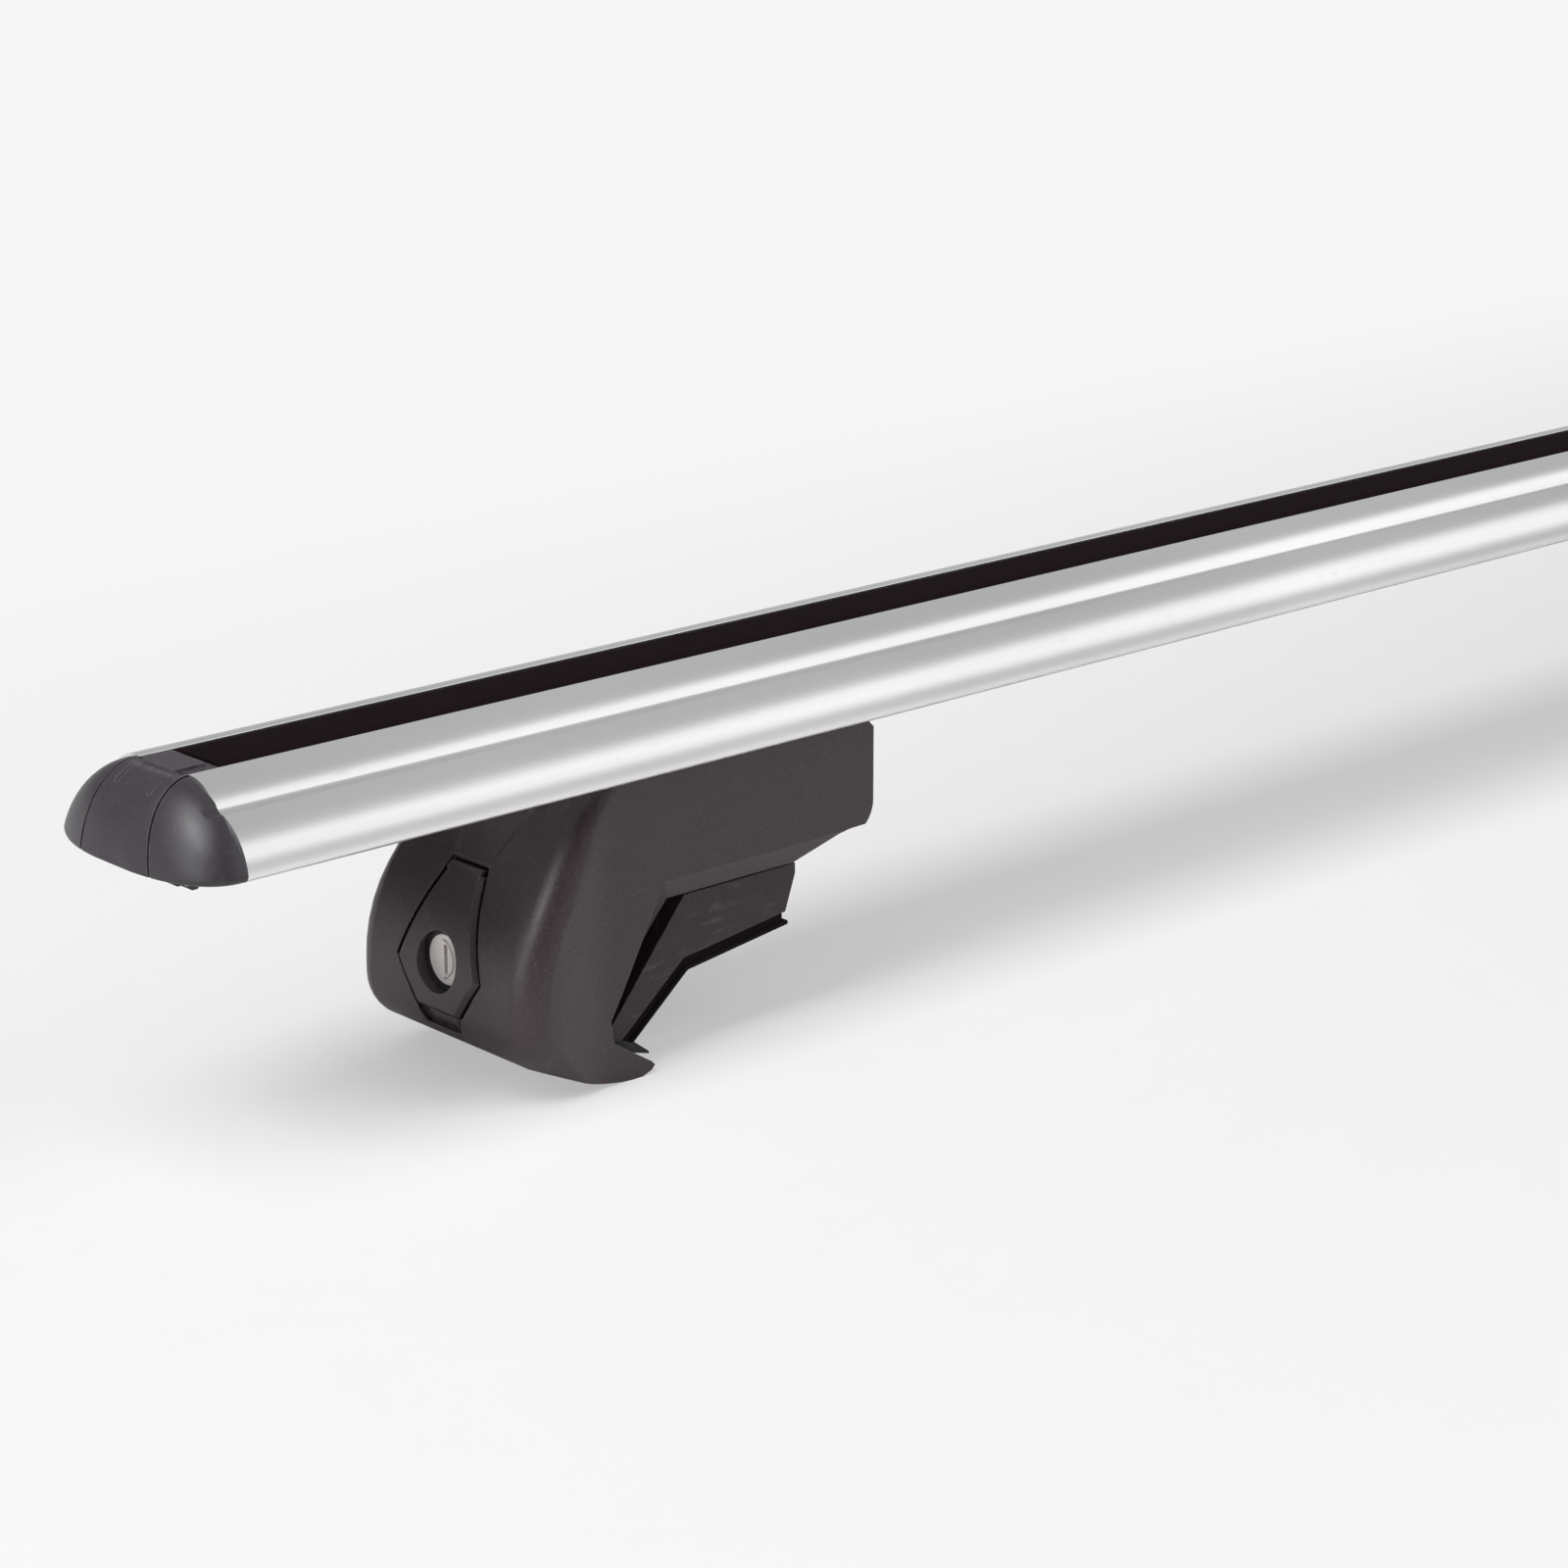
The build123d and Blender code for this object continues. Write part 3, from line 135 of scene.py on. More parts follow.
class Paint:
    """The node tree of one material, or of the world, while it is being mixed."""

    def __init__(self, owner: Union[bpy.types.Material, bpy.types.World]) -> None:
        """Starts an empty tree.

        Args:
            owner: the material or the world that the tree belongs to.
        """
        self.owner = owner
        self.owner.use_nodes = True
        self.tree = self.owner.node_tree
        self.tree.nodes.clear()

    @classmethod
    def fresh(cls, name: str) -> "Paint":
        """The tree of a new material."""
        return cls(bpy.data.materials.new(name))

    def node(
        self,
        kind: str,
        settings: Optional[dict[str, Any]] = None,
        sockets: Optional[dict[Union[int, str], Value]] = None,
        output: Union[int, str] = 0,
    ) -> Wire:
        """Adds one node.

        Args:
            kind: the node's type.
            settings: its own settings, set before its sockets.
            sockets: values or wires for its inputs, by number or name.
            output: which output to read.

        Returns:
            The chosen output as a wire.
        """
        made = self.tree.nodes.new(kind)
        for key, value in (settings or {}).items():
            setattr(made, key, value)
        for key, value in (sockets or {}).items():
            if isinstance(value, Wire):
                self.tree.links.new(value.socket, made.inputs[key])
            else:
                made.inputs[key].default_value = value
        return Wire(self, made.outputs[output] if made.outputs else None)

    def place(self) -> Wire:
        """The place on the piece, in metres, in the shared frame."""
        return self.node("ShaderNodeTexCoord", output="Object")

    def stretched(self, scale: Triple) -> Wire:
        """The place, drawn out by a scale along each axis."""
        return self.node("ShaderNodeMapping", {}, {"Vector": self.place(), "Scale": scale})

    def noise(self, size: float, detail: float = 2.0, where: Optional[Wire] = None) -> Wire:
        """Soft random patches.

        Args:
            size: how wide a patch is, in metres.
            detail: how many finer layers lie over the first.
            where: the place to read, or the plain place.

        Returns:
            A value around one half.
        """
        sockets = {"Vector": where or self.place(), "Scale": 1 / size, "Detail": detail}
        return self.node("ShaderNodeTexNoise", {"noise_dimensions": "3D"}, sockets)

    def blend(self, share: Value, first: Value, second: Value) -> Wire:
        """Two colours mixed by a share of the second."""
        return self.node(
            "ShaderNodeMix",
            {"data_type": "RGBA"},
            {0: share, 6: opaque(first), 7: opaque(second)},
            output=2,
        )

    def soft_edges(self, radius: float) -> Wire:
        """The surface's direction with its corners rounded off."""
        return self.node("ShaderNodeBevel", {"samples": 6}, {"Radius": radius})

    def edge_mask(self, radius: float) -> Wire:
        """Finds the corners.

        Args:
            radius: how near a corner has to be, in metres.

        Returns:
            One where a corner is that near, nought on open faces.
        """
        true = self.node("ShaderNodeNewGeometry", output="Normal")
        lean = self.node(
            "ShaderNodeVectorMath",
            {"operation": "DOT_PRODUCT"},
            {0: self.soft_edges(radius), 1: true},
            output="Value",
        )
        return (1 - lean).above(0.02, 0.25)

    def bump(self, height: Wire, depth: float, under: Optional[Wire] = None) -> Wire:
        """A surface direction from small heights.

        Args:
            height: the heights, from nought to one.
            depth: how deep one is, in metres.
            under: the direction it starts from.

        Returns:
            The direction to give a shader.
        """
        sockets: dict[Union[int, str], Value] = {"Height": height, "Distance": depth}
        if under is not None:
            sockets["Normal"] = under
        return self.node("ShaderNodeBump", {}, sockets)

    def surface(self, sockets: dict[Union[int, str], Value]) -> bpy.types.Material:
        """Closes the tree with one surface shader.

        Args:
            sockets: values or wires for the shader.

        Returns:
            The finished material.
        """
        return self.close(self.node("ShaderNodeBsdfPrincipled", {}, sockets))

    def close(self, shader: Wire, kind: str = "ShaderNodeOutputMaterial") -> Any:
        """Ends the tree in a shader.

        Args:
            shader: the shader to end in.
            kind: the type of the tree's last node.

        Returns:
            The material or the world that the tree belongs to.
        """
        self.node(kind, {}, {"Surface": shader})
        return self.owner


def opaque(colour: Value) -> Value:
    """A colour with its fourth channel; wires pass through."""
    return colour if isinstance(colour, Wire) else (*colour, 1.0)


@dataclass(frozen=True)
class Finish:
    """What every finish has: a name, a colour and a roughness."""

    name: str
    colour: Colour
    roughness: float

    def material(self) -> bpy.types.Material:
        """Mixes the finish as a material."""
        raise NotImplementedError


@dataclass(frozen=True)
class Anodised(Finish):
    """Drawn aluminium under a matt anodised skin, with faint lines along the bar."""

    line_width: float = 0.0009
    line_depth: float = 0.000004
    line_draw: Triple = (0.004, 1.0, 1.0)
    patch_width: float = 0.06
    patch_draw: Triple = (0.25, 1.0, 1.0)
    frost_width: float = 0.0004
    mark_width: float = 0.004
    mark_draw: Triple = (0.6, 1.0, 1.0)
    mark_share: float = 0.25
    tone: float = 0.05

    def material(self) -> bpy.types.Material:
        """Mixes the metal: lines along the bar, soft patches and a few handling marks.

        Returns:
            The finished material.
        """
        paint = Paint.fresh(self.name)
        lines = paint.noise(self.line_width, 3.0, paint.stretched(self.line_draw))
        patches = paint.noise(self.patch_width, 3.0, paint.stretched(self.patch_draw))
        frost = paint.noise(self.frost_width, 1.0)
        marks = paint.noise(self.mark_width, 4.0, paint.stretched(self.mark_draw)).above(0.66, 0.74)
        dull = tuple(value * (1 - 2 * self.tone) for value in self.colour)
        colour = paint.blend(patches.above(0.35, 0.7), dull, self.colour)
        colour = paint.blend(self.mark_share * marks, colour, dull)
        rough = self.roughness + 0.10 * (lines - 0.5) + 0.08 * (patches - 0.5) + 0.06 * marks
        height = 0.7 * lines + 0.3 * frost
        return paint.surface({
            "Base Color": colour,
            "Metallic": 1.0,
            "Roughness": rough,
            "Normal": paint.bump(height, self.line_depth),
        })


@dataclass(frozen=True)
class Moulded(Finish):
    """Black moulded plastic with a spark-eroded grain, pale specks and rubbed edges."""

    grain: float = 0.0008
    grain_depth: float = 0.00003
    fleck: float = 0.5
    tone: float = 0.10
    specks: float = 0.25
    shine: float = 0.4
    edge: float = 0.0005
    wear: float = 0.5
    worn: Colour = (0.19, 0.17, 0.18)
    scuffs: float = 0.0
    broad_width: float = 0.035
    dot_width: float = 0.0011
    rub_width: float = 0.004
    fleck_gain: float = 1.55
    stroke_width: float = 0.0022
    stroke_draw: Triple = (0.16, 1.0, 0.8)
    scuff_width: float = 0.016

    def material(self) -> bpy.types.Material:
        """Mixes the plastic: broad tone, grain, dust in the grain, rubbed edges and scuffs.

        Returns:
            The finished material.
        """
        paint = Paint.fresh(self.name)
        broad = paint.noise(self.broad_width, 4.0)
        grain = paint.noise(self.grain, 2.0)
        dots = paint.noise(self.dot_width, 1.0).above(0.69, 0.76)
        rubbed = paint.noise(self.rub_width, 3.0).above(0.30, 0.58)
        edges = paint.edge_mask(2.0 * self.edge) * rubbed
        light = tuple(value * (1 + self.tone) for value in self.colour)
        dark = tuple(value * (1 - self.tone) for value in self.colour)
        pale = tuple(value * self.fleck_gain for value in self.colour)
        colour = paint.blend(broad.above(0.3, 0.7), dark, light)
        colour = paint.blend(self.fleck * grain.above(0.46, 0.66), colour, pale)
        colour = paint.blend(self.specks * dots, colour, self.worn)
        colour = paint.blend(self.wear * edges, colour, self.worn)
        rough = self.roughness + 0.14 * (grain - 0.5) + 0.10 * (broad - 0.5)
        if self.scuffs:
            drawn = paint.stretched(self.stroke_draw)
            strokes = paint.noise(self.stroke_width, 4.0, drawn).above(0.56, 0.70)
            patches = paint.noise(self.scuff_width, 3.0).above(0.42, 0.60)
            marks = self.scuffs * strokes * patches
            colour = paint.blend(marks, colour, self.worn)
            rough = rough + 0.2 * marks
        return paint.surface({
            "Base Color": colour,
            "Roughness": rough,
            "Specular IOR Level": self.shine,
            "Normal": paint.bump(grain, self.grain_depth, paint.soft_edges(self.edge)),
        })


@dataclass(frozen=True)
class Rubber(Finish):
    """Dull black rubber with dust in its pores and fine lines from the die."""

    line_width: float = 0.0012
    dust: float = 0.2
    wear: float = 0.0
    shine: float = 0.25
    line_draw: Triple = (0.01, 1.0, 1.0)
    pore_width: float = 0.0005
    pore_depth: float = 0.00002
    dust_width: float = 0.012
    edge: float = 0.0004
    worn: Colour = (0.10, 0.09, 0.095)

    def material(self) -> bpy.types.Material:
        """Mixes the rubber: pores, lines along the piece and settled dust.

        Returns:
            The finished material.
        """
        paint = Paint.fresh(self.name)
        pores = paint.noise(self.pore_width, 2.0)
        lines = paint.noise(self.line_width, 2.0, paint.stretched(self.line_draw))
        dust = paint.noise(self.dust_width, 5.0).above(0.45, 0.8)
        pale = tuple(value * 2.4 + 0.01 for value in self.colour)
        colour = paint.blend(self.dust * dust, self.colour, pale)
        colour = paint.blend(self.wear * paint.edge_mask(2.0 * self.edge), colour, self.worn)
        rough = self.roughness + 0.12 * (pores - 0.5) + 0.08 * dust
        height = 0.6 * pores + 0.4 * lines
        return paint.surface({
            "Base Color": colour,
            "Roughness": rough,
            "Specular IOR Level": self.shine,
            "Normal": paint.bump(height, self.pore_depth, paint.soft_edges(self.edge)),
        })


@dataclass(frozen=True)
class Plated(Finish):
    """Plated or blackened steel with a fine mottle and rubbed edges."""

    mottle: float = 0.003
    tone: float = 0.15
    bright: Colour = (0.6, 0.6, 0.6)
    wear: float = 0.5
    metallic: float = 1.0
    scratch_width: float = 0.0005
    scratch_depth: float = 0.000006
    scratch_draw: Triple = (1.0, 0.08, 1.0)
    edge: float = 0.0003

    def material(self) -> bpy.types.Material:
        """Mixes the plating: mottle, fine scratches and brighter edges.

        Returns:
            The finished material.
        """
        paint = Paint.fresh(self.name)
        mottle = paint.noise(self.mottle, 4.0)
        scratch = paint.noise(self.scratch_width, 3.0, paint.stretched(self.scratch_draw))
        edges = paint.edge_mask(2.0 * self.edge) * mottle.above(0.3, 0.6)
        dark = tuple(value * (1 - self.tone) for value in self.colour)
        colour = paint.blend(mottle.above(0.35, 0.65), dark, self.colour)
        colour = paint.blend(self.wear * edges, colour, self.bright)
        rough = self.roughness + 0.16 * (mottle - 0.5) + 0.10 * (scratch - 0.5)
        return paint.surface({
            "Base Color": colour,
            "Metallic": self.metallic,
            "Roughness": rough,
            "Normal": paint.bump(scratch, self.scratch_depth, paint.soft_edges(self.edge)),
        })


class Finishes(Enum):
    """The finish of each material slot."""

    anodised_bar = Anodised("anodised_bar", (0.86, 0.86, 0.87), 0.32)
    strip_rubber = Rubber("strip_rubber", (0.010, 0.006, 0.007), 0.80, dust=0.1, shine=0.02)
    cap_plastic = Moulded(
        "cap_plastic", (0.036, 0.031, 0.037), 0.40,
        grain_depth=0.000016, fleck=0.2, specks=0.12, shine=0.5, scuffs=0.10)
    flap_plastic = Moulded(
        "flap_plastic", (0.046, 0.039, 0.048), 0.50,
        grain_depth=0.000022, fleck=0.3, specks=0.16, shine=0.35)
    foot_plastic = Moulded(
        "foot_plastic", (0.036, 0.024, 0.027), 0.40, grain_depth=0.000060, fleck=0.8, shine=0.56)
    cover_plastic = Moulded(
        "cover_plastic", (0.034, 0.023, 0.029), 0.40, grain_depth=0.000030, fleck=0.5, shine=0.56)
    saddle_plastic = Moulded(
        "saddle_plastic", (0.034, 0.023, 0.025), 0.46, fleck=0.6, scuffs=0.40, shine=0.4)
    pad_rubber = Rubber("pad_rubber", (0.010, 0.007, 0.008), 0.70, wear=0.5, shine=0.1)
    zinc_steel = Plated("zinc_steel", (0.62, 0.62, 0.60), 0.34)
    black_steel = Plated(
        "black_steel", (0.018, 0.017, 0.018), 0.5, bright=(0.10, 0.10, 0.10), metallic=0.0)
    lock_metal = Plated(
        "lock_metal", (0.92, 0.87, 0.83), 0.30, mottle=0.008, tone=0.04, wear=0.2, metallic=0.15)


class Workshop:
    """Holds the mixed materials and the ways that meshes are put into the scene."""

    WELD = 0.003 * MM
    FLAT_ANGLE = math.radians(0.05)
    BEVEL_MARGIN = 4.0
    FLOW_WEIGHT = 60

    def __init__(self) -> None:
        """Mixes every finish once."""
        self.materials = {finish.name: finish.value.material() for finish in Finishes}

    def dress(self, item: bpy.types.Object, slot: str) -> None:
        """Gives a piece or a node the finish of a slot."""
        item.data.materials.clear()
        item.data.materials.append(self.materials[slot])

    def piece(
        self, mesh: bpy.types.Mesh, slot: str, body: str, *nodes: str, finish: Optional[str] = None
    ) -> bpy.types.Object:
        """Puts a mesh into the scene as a piece of the object.

        Args:
            mesh: the finished mesh, in the shared frame.
            slot: the material slot that it belongs to.
            body: the body it moves with.
            nodes: the nodes that it stands for.
            finish: the finish it wears, where that isn't the slot's own.

        Returns:
            The new object.
        """
        item = bpy.data.objects.new(mesh.name, mesh)
        bpy.context.scene.collection.objects.link(item)
        self.dress(item, finish or slot)
        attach(item, body)
        if nodes:
            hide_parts(*nodes)
        LOG.info("%s rides on %s", item.name, body)
        return item

    def skin(
        self,
        node: str,
        slot: str,
        edge: Edge = Edge.CRISP,
        smooth: float = 26.0,
        finish: Optional[str] = None,
    ) -> bpy.types.Object:
        """Puts a moulded skin in the place of a node, its faces joined, smoothed and rounded.

        Args:
            node: the node to stand for.
            slot: the material slot that it belongs to.
            edge: how far its corners are rounded off.
            smooth: the bend, in degrees, from which an edge counts as a corner.
            finish: the finish it wears, where that isn't the slot's own.

        Returns:
            The new object.
        """
        source = frame["nodes"][node]
        work = bmesh.new()
        work.from_mesh(source.data)
        bmesh.ops.remove_doubles(work, verts=work.verts, dist=self.WELD)
        if edge is not Edge.CRISP:
            bmesh.ops.dissolve_limit(
                work,
                angle_limit=self.FLAT_ANGLE,
                use_dissolve_boundaries=False,
                verts=work.verts,
                edges=work.edges,
            )
        bmesh.ops.recalc_face_normals(work, faces=work.faces)
        plain = bpy.data.meshes.new(f"{node}_skin")
        work.verts.index_update()
        points = [tuple(vert.co) for vert in work.verts]
        faces = [tuple(vert.index for vert in face.verts) for face in work.faces]
        work.free()
        plain.from_pydata(points, [], faces)
        plain.shade_smooth()
        plain.set_sharp_from_angle(angle=math.radians(smooth))
        body = next(name for name, empty in frame["bodies"].items() if empty is source.parent)
        item = self.piece(plain, slot, body, node, finish=finish)
        if edge is not Edge.CRISP:
            bevel = item.modifiers.new("corners", "BEVEL")
            bevel.width = edge.value * MM
            bevel.segments = 2
            bevel.limit_method = "ANGLE"
            bevel.angle_limit = math.radians(smooth + self.BEVEL_MARGIN)
            bevel.use_clamp_overlap = True
            bevel.miter_outer = "MITER_ARC"
            bevel.harden_normals = False
        flow = item.modifiers.new("flow", "WEIGHTED_NORMAL")
        flow.keep_sharp = True
        flow.weight = self.FLOW_WEIGHT
        return item


class Outline:
    """A closed flat line drawn from point to point, its arcs cut finely."""

    def __init__(self, start: Point) -> None:
        """Starts the line at a point."""
        self.points = [start]

    def line(self, *points: Point) -> "Outline":
        """Straight on to each point in turn."""
        self.points.extend(points)
        return self

    def arc(self, end: Point, radius: float, steps: int) -> "Outline":
        """Round to a point on an arc that bulges to the right of the way.

        Args:
            end: where the arc ends.
            radius: the arc's radius.
            steps: how many runs it is cut into.

        Returns:
            The line itself.
        """
        start = Vector(self.points[-1])
        half = (Vector(end) - start) / 2
        height = math.sqrt(max(radius**2 - half.length_squared, 0.0))
        centre = start + half + Vector((-half.y, half.x)).normalized() * height
        turn = 2 * math.asin(min(1.0, half.length / radius))
        spoke = start - centre
        for step in range(1, steps + 1):
            turned = Matrix.Rotation(turn * step / steps, 2) @ spoke
            self.points.append(tuple(centre + turned))
        return self

    def soften(self, corner: Point, reach: float, steps: int = 6) -> "Outline":
        """Rounds a corner off between two points of the line a reach away from it.

        Args:
            corner: the corner, which is a point of the line.
            reach: how far from the corner the round starts.
            steps: how many runs it is cut into.

        Returns:
            The line itself.
        """
        at = Vector(corner)
        index = min(range(len(self.points)), key=lambda i: (Vector(self.points[i]) - at).length)
        ends = []
        for way in (-1, 1):
            near = index
            while (Vector(self.points[near + way]) - at).length < reach:
                near += way
            inner, outer = Vector(self.points[near]), Vector(self.points[near + way])
            short, long = (inner - at).length, (outer - at).length
            ends.append((near + way, inner.lerp(outer, (reach - short) / (long - short))))
        (first, start), (last, end) = ends
        bend = []
        for step in range(steps + 1):
            share = step / steps
            bend.append(tuple(start.lerp(at, share).lerp(at.lerp(end, share), share)))
        self.points[first + 1 : last] = bend
        return self

    def mirrored(self) -> list[Point]:
        """Closes the line.

        Returns:
            The line and its mirror across the middle as one closed loop.
        """
        back = [(-y, z) for y, z in reversed(self.points)]
        loop = self.points + back
        return [p for i, p in enumerate(loop) if (Vector(p) - Vector(loop[i - 1])).length > 1e-6]


def extruded(name: str, loops: list[list[Point]], reach: float, base: float) -> bpy.types.Mesh:
    """A straight extrusion along the bar.

    Args:
        name: what the mesh is called.
        loops: closed lines across the bar, in millimetres: the outside, then the hollows.
        reach: half of its length, in millimetres.
        base: the height that the lines stand on, in millimetres.

    Returns:
        The mesh, in metres, smooth except at its corners.
    """
    work = bmesh.new()
    caps: dict[int, list[bmesh.types.BMEdge]] = {-1: [], 1: []}
    for loop in loops:
        rings = {}
        for end in (-1, 1):
            x = end * reach * MM
            rings[end] = [work.verts.new((x, y * MM, (base + z) * MM)) for y, z in loop]
        count = len(loop)
        for i in range(count):
            after = (i + 1) % count
            work.faces.new((rings[-1][i], rings[-1][after], rings[1][after], rings[1][i]))
            for end in (-1, 1):
                caps[end].append(work.edges.get((rings[end][i], rings[end][after])))
    for end in (-1, 1):
        bmesh.ops.triangle_fill(work, use_beauty=True, use_dissolve=False, edges=caps[end])
    bmesh.ops.recalc_face_normals(work, faces=work.faces)
    mesh = bpy.data.meshes.new(name)
    work.to_mesh(mesh)
    work.free()
    mesh.shade_smooth()
    mesh.set_sharp_from_angle(angle=CORNER_ANGLE)
    return mesh


@dataclass
class Crossbar:
    """The bar's extrusion and the rubber strip in its slot. Sizes are in millimetres."""

    shop: Workshop
    underside: float = 85.0
    reach: float = 585.0
    half: float = 36.0
    height: float = 22.5
    wall: float = 1.8
    edge_radius: float = 2.2
    flank_radius: float = 17.0
    ledge_height: float = 15.3
    ledge_width: float = 3.4
    ledge_round: float = 0.9
    lobe_half: float = 22.9
    lobe_radius: float = 11.2
    recess_half: float = 11.0
    recess_depth: float = 2.6
    mouth_half: float = 5.75
    slot_lip: float = 2.2
    slot_half: float = 10.0
    slot_depth: float = 7.4
    channel_mouth_half: float = 5.5
    channel_lip: float = 2.3
    channel_top: float = 8.5
    channel_half: float = 10.0
    strip_reach: float = 574.5
    strip_half: float = 10.8
    strip_land: float = 6.0
    strip_rise: float = 0.3
    strip_drop: float = 0.7
    barb_half: float = 7.05
    barb_height: float = 1.4
    side_gap: float = 0.2
    lip_round: float = 0.35
    crown_radius: float = 11.0
    strip_round: float = 0.3
    chamber_slack: float = 0.02
    fine_steps: int = 36
    plain_steps: int = 14
    round_steps: int = 4

    @property
    def recess_floor(self) -> float:
        """Height of the ledges that the strip lies on."""
        return self.height - self.recess_depth

    @property
    def slot_top(self) -> float:
        """Height of the slot's roof, under its lips."""
        return self.recess_floor - self.slot_lip

    def outside(self) -> Outline:
        """Draws the bar.

        Returns:
            The right half of its line, from the channel under it to the slot on top.
        """
        valley = (self.lobe_half, self.ledge_height)
        ledge = (self.lobe_half + self.ledge_width, self.ledge_height)
        line = Outline((0.0, self.channel_top))
        line.line((self.channel_half, self.channel_top), (self.channel_half, self.channel_lip))
        line.line((self.channel_mouth_half, self.channel_lip), (self.channel_mouth_half, 0.0))
        line.line((self.half - self.edge_radius, 0.0))
        line.arc((self.half, self.edge_radius), self.edge_radius, self.plain_steps)
        line.arc(ledge, self.flank_radius, self.fine_steps)
        line.line(valley)
        line.arc((self.recess_half, self.height), self.lobe_radius, self.fine_steps)
        line.soften(ledge, self.ledge_round).soften(valley, self.ledge_round)
        line.line((self.recess_half, self.recess_floor), (self.mouth_half, self.recess_floor))
        line.line((self.mouth_half, self.slot_top), (self.slot_half, self.slot_top))
        line.line((self.slot_half, self.slot_top - self.slot_depth))
        line.line((0.0, self.slot_top - self.slot_depth))
        return line.soften((self.recess_half, self.height), self.lip_round, self.round_steps)

    def chamber(self) -> list[Point]:
        """Draws the hollow in the bar's right side.

        Returns:
            A closed line, a wall inside the bar's own.
        """
        inside = self.recess_half + self.wall
        line = [Vector(p) for p in self.outside().points]
        loop: list[Point] = []
        for before, here, after in zip(line, line[1:], line[2:]):
            way = (after - before).normalized()
            inner = here + Vector((-way.y, way.x)) * self.wall
            clear = min((inner - other).length for other in line) > self.wall - self.chamber_slack
            if clear and inner.x > inside and 0 < inner.y < self.height:
                loop.append(tuple(inner))
        return loop + [(inside, loop[-1][1]), (inside, loop[0][1])]

    def strip_line(self) -> Outline:
        """Draws the strip.

        Returns:
            The right half of its line, from its barb up over its crown.
        """
        low = self.slot_top - self.side_gap - self.barb_height
        stem = self.mouth_half - self.side_gap
        top = self.height + self.strip_rise
        edge = (self.strip_half, self.height - self.strip_drop)
        line = Outline((0.0, low))
        line.line((self.barb_half, low), (self.barb_half, low + self.barb_height))
        line.line((stem, low + self.barb_height), (stem, self.recess_floor))
        line.line((self.strip_half, self.recess_floor), edge)
        line.arc((self.strip_land, top), self.crown_radius, self.plain_steps).line((0.0, top))
        return line.soften(edge, self.strip_round, self.round_steps)

    def build(self) -> None:
        """Makes the bar and the strip."""
        right = self.chamber()
        left = [(-y, z) for y, z in right]
        loops = [self.outside().mirrored(), right, left]
        metal = extruded("bar_metal", loops, self.reach, self.underside)
        self.shop.piece(metal, "anodised_bar", "bar", "bar_profile")
        crown = [self.strip_line().mirrored()]
        strip = extruded("strip_crown", crown, self.strip_reach, self.underside)
        self.shop.piece(strip, "strip_rubber", "bar", "slot_strip")


@dataclass
class EndCap:
    """The moulded cap on one end of the bar, with its flap. Sizes are in millimetres."""

    shop: Workshop
    side: Side
    bar_end: float = 585.0
    bead_radius: float = 0.24
    bead_across: float = 7.2
    bead_half: float = 1.0
    bead_start: float = 1.2
    bead_length: float = 7.2
    bead_sink: float = 0.4
    bead_facets: int = 2
    leg_steps: int = 6
    bend_steps: int = 8
    clear_above: float = 300.0

    def build(self) -> None:
        """Skins the cap and the flap, lays the beads on the flap and dresses its pin."""
        tag = self.side.tag
        self.shop.skin(f"end_cap_{tag}", "cap_plastic")
        flap = self.shop.skin(f"end_flap_{tag}", "cap_plastic", finish="flap_plastic")
        self.beads(flap)
        self.shop.dress(frame["nodes"][f"flap_pin_{tag}"], "zinc_steel")
        LOG.info("flap_pin_%s dressed", tag)

    def bead_line(self, across: float) -> list[Point]:
        """Draws one narrow loop, open at the top.

        Args:
            across: where the middle of the loop lies.

        Returns:
            The loop's points, as distances out from the bar's end and across it.
        """
        low = self.bead_start + self.bead_length
        near, half = across - self.bead_half, self.bead_half
        run = self.bead_length / self.leg_steps
        leg = [(self.bead_start + step * run, near) for step in range(self.leg_steps)]
        bend = []
        for step in range(self.bend_steps + 1):
            angle = math.pi * step / self.bend_steps
            bend.append((low + half * math.sin(angle), across - half * math.cos(angle)))
        return leg + bend + [(out, 2 * across - y) for out, y in reversed(leg)]

    def beads(self, flap: bpy.types.Object) -> None:
        """Lays two fine moulded beads on the flap's face, half sunk into it.

        Args:
            flap: the flap's skin.
        """
        corners = [vert.co for vert in flap.data.vertices]
        face = BVHTree.FromPolygons(corners, [poly.vertices for poly in flap.data.polygons])
        curve = bpy.data.curves.new("bead_line", "CURVE")
        curve.dimensions = "3D"
        curve.bevel_depth = self.bead_radius * MM
        curve.bevel_resolution = self.bead_facets
        curve.use_fill_caps = True
        down = Vector((0.0, 0.0, -1.0))
        for across in (-self.bead_across, self.bead_across):
            points = []
            for out, y in self.bead_line(across):
                x = self.side.value * (self.bar_end + out) * MM
                place = face.ray_cast(Vector((x, y * MM, self.clear_above * MM)), down)[0]
                points.append(place + down * (self.bead_sink * self.bead_radius * MM))
            spline = curve.splines.new("POLY")
            spline.points.add(len(points) - 1)
            for point, place in zip(spline.points, points):
                point.co = (*place, 1.0)
        maker = bpy.data.objects.new("bead_maker", curve)
        bpy.context.scene.collection.objects.link(maker)
        bpy.context.view_layer.update()
        mesh = bpy.data.meshes.new_from_object(maker)
        bpy.data.objects.remove(maker, do_unlink=True)
        mesh.name = f"flap_beads_{self.side.tag}"
        mesh.shade_smooth()
        self.shop.piece(mesh, "cap_plastic", f"flap_{self.side.tag}", finish="flap_plastic")


